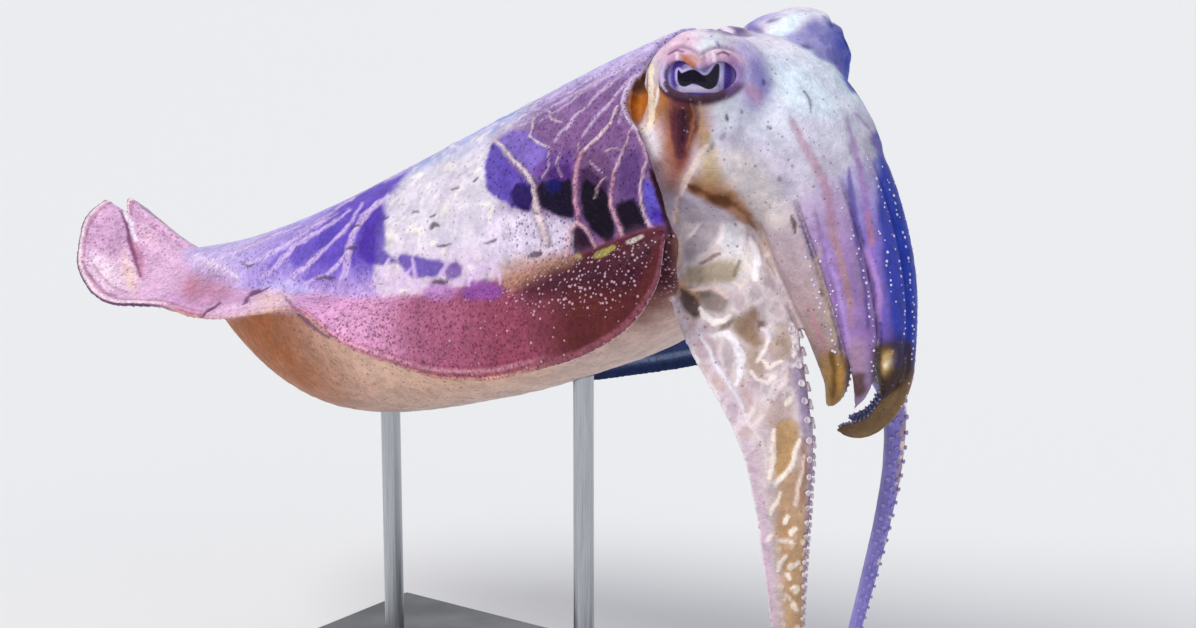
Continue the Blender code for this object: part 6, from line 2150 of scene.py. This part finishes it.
class Nodes:
    """Adds shader nodes to a material and joins them."""

    def __init__(self, name):
        self.material = bpy.data.materials.new(name)
        self.material.use_nodes = True
        self.tree = self.material.node_tree
        self.shader = self.tree.nodes["Principled BSDF"]

    def add(self, kind, **settings):
        node = self.tree.nodes.new("ShaderNode" + kind)
        for name, value in settings.items():
            setattr(node, name, value)
        return node

    def put(self, socket, value):
        if isinstance(value, bpy.types.NodeSocket):
            self.tree.links.new(value, socket)
        elif isinstance(value, (tuple, list, np.ndarray)) and len(socket.default_value) == 4:
            socket.default_value = (*value[:3], 1)
        else:
            socket.default_value = value

    def set(self, **values):
        """Values of the shader's own sockets, whose names have a space where these have a low line."""
        for name, value in values.items():
            self.put(self.shader.inputs[name.replace("_", " ")], value)

    def attribute(self, name, output="Fac"):
        return self.add("Attribute", attribute_name=name).outputs[output]

    def math(self, operation, *values, clamp=False):
        node = self.add("Math", operation=operation, use_clamp=clamp)
        for socket, value in zip(node.inputs, values):
            self.put(socket, value)
        return node.outputs[0]

    def ramp(self, value, low, high, out=(0.0, 1.0)):
        """Smooth from the first out value to the second as the value goes from low to high."""
        node = self.add("MapRange", interpolation_type="SMOOTHSTEP")
        names = ("Value", "From Min", "From Max", "To Min", "To Max")
        for name, number in zip(names, (value, low, high, *out)):
            self.put(node.inputs[name], number)
        return node.outputs["Result"]

    def mix(self, share, colour, other, blend="MIX"):
        node = self.add("Mix", data_type="RGBA", blend_type=blend)
        self.put(node.inputs[0], share)
        self.put(node.inputs[6], colour)
        self.put(node.inputs[7], other)
        return node.outputs[2]

    def scaled(self, colour, factors):
        return self.mix(1.0, colour, factors, "MULTIPLY")

    def noise(self, place, grain, detail=2.0, rough=0.5, output="Fac"):
        """grain is in millimetres."""
        node = self.add("TexNoise")
        self.put(node.inputs["Vector"], place)
        for name, value in (("Scale", 1 / (grain * MM)), ("Detail", detail), ("Roughness", rough)):
            self.put(node.inputs[name], value)
        return node.outputs[output]

    def cells(self, place, grain, feature="F1"):
        node = self.add("TexVoronoi", feature=feature)
        self.put(node.inputs["Vector"], place)
        self.put(node.inputs["Scale"], 1 / (grain * MM))
        return node

    def place(self):
        return self.add("TexCoord").outputs["Object"]

    def bump(self, height, deep, before=None):
        """deep is the height's size in millimetres."""
        node = self.add("Bump")
        self.put(node.inputs["Height"], height)
        self.put(node.inputs["Distance"], deep * MM)
        if before is not None:
            self.put(node.inputs["Normal"], before)
        return node.outputs["Normal"]


def dots(nodes, place, grain, size, amount):
    """Round dots of scattered sizes in a share of the cells that amount gives."""
    cells = nodes.cells(place, grain)
    parts = nodes.add("SeparateColor")
    nodes.put(parts.inputs[0], cells.outputs["Color"])
    chosen = nodes.math("LESS_THAN", parts.outputs[0], amount)
    radius = nodes.ramp(parts.outputs[1], 0, 1, (size * 0.55, size))
    edge = nodes.math("SUBTRACT", cells.outputs["Distance"], radius)
    return nodes.math("MULTIPLY", nodes.ramp(edge, 0.06, -0.06), chosen)


# Skin: noises as grain, detail and roughness; dots as grain and radius; tints as factors on the painted tint
SKIN_CLOUDS = (6.0, 4.0, 0.6)
SKIN_GRAIN = (0.9, 3.0, 0.65)
SKIN_MOTTLE = (1.5, 4.0, 0.7)
SKIN_SHEEN = (2.4, 3.0)
DARKER = (0.9, 0.88, 0.92)
LIGHTER = (1.22, 1.18, 1.2)
FRECKLE_TINT = (1.7, 1.65, 1.65)
FRECKLE_GRAIN = 1.35
FINE_DOTS = (0.95, 0.44)
BROAD_DOTS = (1.7, 0.3)
WHITE_DOTS = (1.15, 0.36)
WHITE_DOT_COLOUR = "d2aabb"
BROAD_SHARE = 0.55  # amount of broad dots and freckles as a share of the fine ones'
DOT_STRENGTHS = {"fine": 0.62, "broad": 0.35, "white": 0.75}
DOT_HEIGHTS = {"fine": 0.25, "white": 1.2}  # as shares of the grain's relief
GRAIN_DEEP = 0.14
WRINKLE_GRAIN = 2.2
WRINKLE_DEEP = 0.06


def skin_material():
    """Living skin: the painted tint, fine dark pigment dots, pale beads, cloudy variation, wet bloom."""
    nodes = Nodes("skin")
    place = nodes.place()
    tint = nodes.attribute("tint", "Color")
    spot = nodes.attribute("spot", "Color")
    speckle = nodes.attribute("speckle")
    bead = nodes.attribute("bead")
    cloudy = nodes.noise(place, *SKIN_CLOUDS)
    grainy = nodes.noise(place, *SKIN_GRAIN)
    darker, lighter = nodes.scaled(tint, DARKER), nodes.scaled(tint, LIGHTER)
    colour = nodes.mix(nodes.ramp(cloudy, 0.3, 0.7), darker, lighter)
    colour = nodes.mix(nodes.ramp(grainy, 0.35, 0.75, (0.0, 0.25)), colour, nodes.mix(0.35, colour, spot))
    calm = nodes.ramp(speckle, 0.06, 0.4, (0.3, 1.0))
    mottle = nodes.ramp(nodes.noise(place, *SKIN_MOTTLE), 0.3, 0.7, (-0.17, 0.14))
    colour = nodes.mix(1.0, colour, nodes.math("MULTIPLY_ADD", mottle, calm, 1.0), "MULTIPLY")
    fine = dots(nodes, place, *FINE_DOTS, speckle)
    broad = dots(nodes, place, *BROAD_DOTS, nodes.math("MULTIPLY", speckle, BROAD_SHARE))
    colour = nodes.mix(nodes.math("MULTIPLY", fine, DOT_STRENGTHS["fine"]), colour, spot)
    colour = nodes.mix(nodes.math("MULTIPLY", broad, DOT_STRENGTHS["broad"]), colour, spot)
    pale = nodes.cells(place, FRECKLE_GRAIN)
    freckle = nodes.ramp(pale.outputs["Distance"], 0.3, 0.15)
    freckle = nodes.math("MULTIPLY", freckle, nodes.math("MULTIPLY", speckle, BROAD_SHARE))
    colour = nodes.mix(freckle, colour, nodes.scaled(tint, FRECKLE_TINT))
    white = dots(nodes, place, *WHITE_DOTS, bead)
    strength = nodes.math("MULTIPLY", white, DOT_STRENGTHS["white"])
    colour = nodes.mix(strength, colour, tuple(hue(WHITE_DOT_COLOUR)))
    rough = nodes.ramp(nodes.noise(place, *SKIN_SHEEN), 0.25, 0.8, (0.34, 0.56))
    relief = nodes.math("ADD", grainy, nodes.math("MULTIPLY", white, DOT_HEIGHTS["white"]))
    relief = nodes.math("SUBTRACT", relief, nodes.math("MULTIPLY", fine, DOT_HEIGHTS["fine"]))
    normal = nodes.bump(relief, GRAIN_DEEP)
    wrinkles = nodes.cells(place, WRINKLE_GRAIN, "DISTANCE_TO_EDGE").outputs["Distance"]
    normal = nodes.bump(nodes.ramp(wrinkles, 0.0, 0.12), WRINKLE_DEEP, normal)
    nodes.set(Base_Color=colour, Roughness=rough, Normal=normal)
    nodes.set(Specular_IOR_Level=0.13, IOR=1.36, Coat_Weight=0.03, Coat_Roughness=0.28)
    nodes.set(Subsurface_Weight=0.08, Subsurface_Scale=0.003, Subsurface_Radius=(1.0, 0.45, 0.35))
    return nodes.material


def eye_material():
    nodes = Nodes("eye")
    place = nodes.place()
    tint = nodes.attribute("tint", "Color")
    threads = nodes.noise(place, 0.5, 4.0, 0.7)
    dark = nodes.mix(0.6, tint, (0.06, 0.03, 0.16))
    colour = nodes.mix(nodes.ramp(threads, 0.3, 0.75, (0.0, 0.28)), tint, dark)
    nodes.set(Base_Color=colour, Roughness=nodes.ramp(threads, 0.2, 0.8, (0.12, 0.2)))
    nodes.set(Specular_IOR_Level=0.2, IOR=1.34, Coat_Weight=0.3, Coat_Roughness=0.05)
    return nodes.material


def sucker_material():
    nodes = Nodes("suckers")
    place = nodes.place()
    cloudy = nodes.noise(place, 3.0, 3.0, 0.6)
    tint = nodes.attribute("tint", "Color")
    colour = nodes.mix(nodes.ramp(cloudy, 0.35, 0.7), tint, nodes.scaled(tint, (0.72, 0.62, 0.7)))
    grain = nodes.noise(place, 0.35, 2.0)
    speck = nodes.scaled(tint, (0.5, 0.38, 0.5))
    colour = nodes.mix(nodes.ramp(grain, 0.4, 0.8, (0.0, 0.35)), colour, speck)
    nodes.set(Base_Color=colour, Roughness=nodes.ramp(grain, 0.2, 0.8, (0.3, 0.45)))
    nodes.set(Normal=nodes.bump(grain, 0.05), Coat_Weight=0.2, Coat_Roughness=0.25)
    return nodes.material


def bead_material():
    nodes = Nodes("beads")
    cloudy = nodes.noise(nodes.place(), 2.5, 3.0, 0.6)
    colour = nodes.mix(nodes.ramp(cloudy, 0.35, 0.7), tuple(hue("e9e4f4")), tuple(hue("c4bbe2")))
    grain = nodes.noise(nodes.place(), 0.25, 2.0)
    rough = nodes.ramp(grain, 0.2, 0.8, (0.32, 0.48))
    nodes.set(Base_Color=colour, Roughness=rough, Specular_IOR_Level=0.3)
    return nodes.material


def base_material():
    """Dark satin enamel over metal, with a fine orange peel and a few dull places."""
    nodes = Nodes("stand_paint")
    place = nodes.place()
    peel = nodes.noise(place, 1.1, 2.0)
    worn = nodes.noise(place, 28.0, 4.0, 0.6)
    colour = nodes.mix(nodes.ramp(worn, 0.4, 0.7), tuple(hue("2b2e33")), tuple(hue("34383e")))
    flecks = nodes.noise(place, 0.4, 1.0)
    colour = nodes.mix(nodes.ramp(flecks, 0.68, 0.8, (0.0, 0.3)), colour, tuple(hue("565b63")))
    nodes.set(Base_Color=colour, Metallic=0.0, Specular_IOR_Level=0.5)
    nodes.set(Roughness=nodes.ramp(worn, 0.3, 0.75, (0.33, 0.5)), Normal=nodes.bump(peel, 0.035))
    return nodes.material


def rod_material():
    """Steel brushed along the rod's length."""
    nodes = Nodes("brushed_steel")
    stretch = nodes.add("Mapping")
    nodes.put(stretch.inputs["Vector"], nodes.place())
    stretch.inputs["Scale"].default_value = (1.0, 1.0, 0.02)
    lines = nodes.noise(stretch.outputs["Vector"], 0.35, 3.0, 0.7)
    cloudy = nodes.noise(nodes.place(), 14.0, 3.0)
    colour = nodes.mix(nodes.ramp(lines, 0.3, 0.75), tuple(hue("a9adb2")), tuple(hue("c9ccd0")))
    nodes.set(Base_Color=colour, Metallic=1.0, Normal=nodes.bump(lines, 0.02))
    dull = nodes.math("ADD", lines, nodes.math("MULTIPLY", cloudy, 0.4))
    nodes.set(Roughness=nodes.ramp(dull, 0.3, 1.1, (0.22, 0.42)))
    return nodes.material
FLOOR_SIZE = 12  # metres
FLOOR_COLOUR = (0.84, 0.845, 0.85)
LIGHT_DISTANCE = 2  # metres
LIGHTS = (  # name, direction it comes from, strength, spread in degrees, colour
    ("key", (-0.25, -0.66, 0.74), 2.1, 30, (1.0, 0.975, 0.94)),
    ("fill", (0.85, -0.4, 0.3), 0.42, 60, (0.93, 0.95, 1.0)),
    ("rim", (-0.4, 0.75, 0.55), 0.6, 40, (0.95, 0.97, 1.0)),
)
SKY = (0.88, 0.92, 1.0)
SKY_STRENGTH = 0.42


def make_stage():
    bpy.ops.mesh.primitive_plane_add(size=FLOOR_SIZE, location=(0, 0, 0))
    floor = bpy.context.object
    floor.name = "floor"
    nodes = Nodes("floor")
    nodes.set(Base_Color=FLOOR_COLOUR, Roughness=0.9, Specular_IOR_Level=0.2)
    floor.data.materials.append(nodes.material)
    for name, way, strength, spread_out, colour in LIGHTS:
        lamp = bpy.data.lights.new(name, "SUN")
        lamp.energy = strength
        lamp.angle = math.radians(spread_out)
        lamp.color = colour
        light = bpy.data.objects.new(name, lamp)
        light.location = Vector(way) * LIGHT_DISTANCE
        light.rotation_euler = Vector(way).to_track_quat("Z", "Y").to_euler()
        bpy.context.scene.collection.objects.link(light)
    world = bpy.data.worlds.new("sky")
    world.use_nodes = True
    world.node_tree.nodes["Background"].inputs["Color"].default_value = (*SKY, 1)
    world.node_tree.nodes["Background"].inputs["Strength"].default_value = SKY_STRENGTH
    bpy.context.scene.world = world
    bpy.context.scene.view_settings.view_transform = "Standard"


PAPILLAE = 0.16  # height of the skin's fine relief
PAPILLAE_GRAIN = 2.2


def raise_relief(coat):
    """Moves the skin's points in and out along their normals, for veins, wrinkles and small papillae."""
    places = coat.places
    arms = spread(coat.skin, np.isin(coat.owner, ALL_ARM_FORMS).astype(float), 4)
    fine = cloud(places, PAPILLAE_GRAIN, 61, 2) * (1 - 0.5 * arms)
    relief = coat.relief + PAPILLAE * fine
    flat = (places + coat.normals * relief[:, None]) * MM
    coat.skin.data.vertices.foreach_set("co", flat.ravel())
    coat.skin.data.update()


def dress(piece, material):
    piece.data.materials.clear()
    piece.data.materials.append(material)


def main():
    make_stage()
    make_camera()
    skin, grids, widths = make_skin()
    coat = make_coat(skin, grids, widths)
    raise_relief(coat)
    add_colour(skin, "tint", coat.tint)
    add_colour(skin, "spot", coat.spot)
    add_value(skin, "speckle", coat.speckle)
    add_value(skin, "bead", coat.bead)
    dress(skin, skin_material())
    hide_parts(*[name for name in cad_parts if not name.startswith(("stand_", "eye_"))])
    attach(skin, "root")
    eye_look, cup_look, bead_look = eye_material(), sucker_material(), bead_material()
    for side in (-1, 1):
        dress(make_eye(side), eye_look)
        dress(make_cups(side), cup_look)
        dress(make_beads(side), bead_look)
    base_look, rod_look = base_material(), rod_material()
    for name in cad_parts:
        if name.startswith("stand_"):
            dress(bpy.data.objects[name], base_look if name == "stand_base" else rod_look)


main()
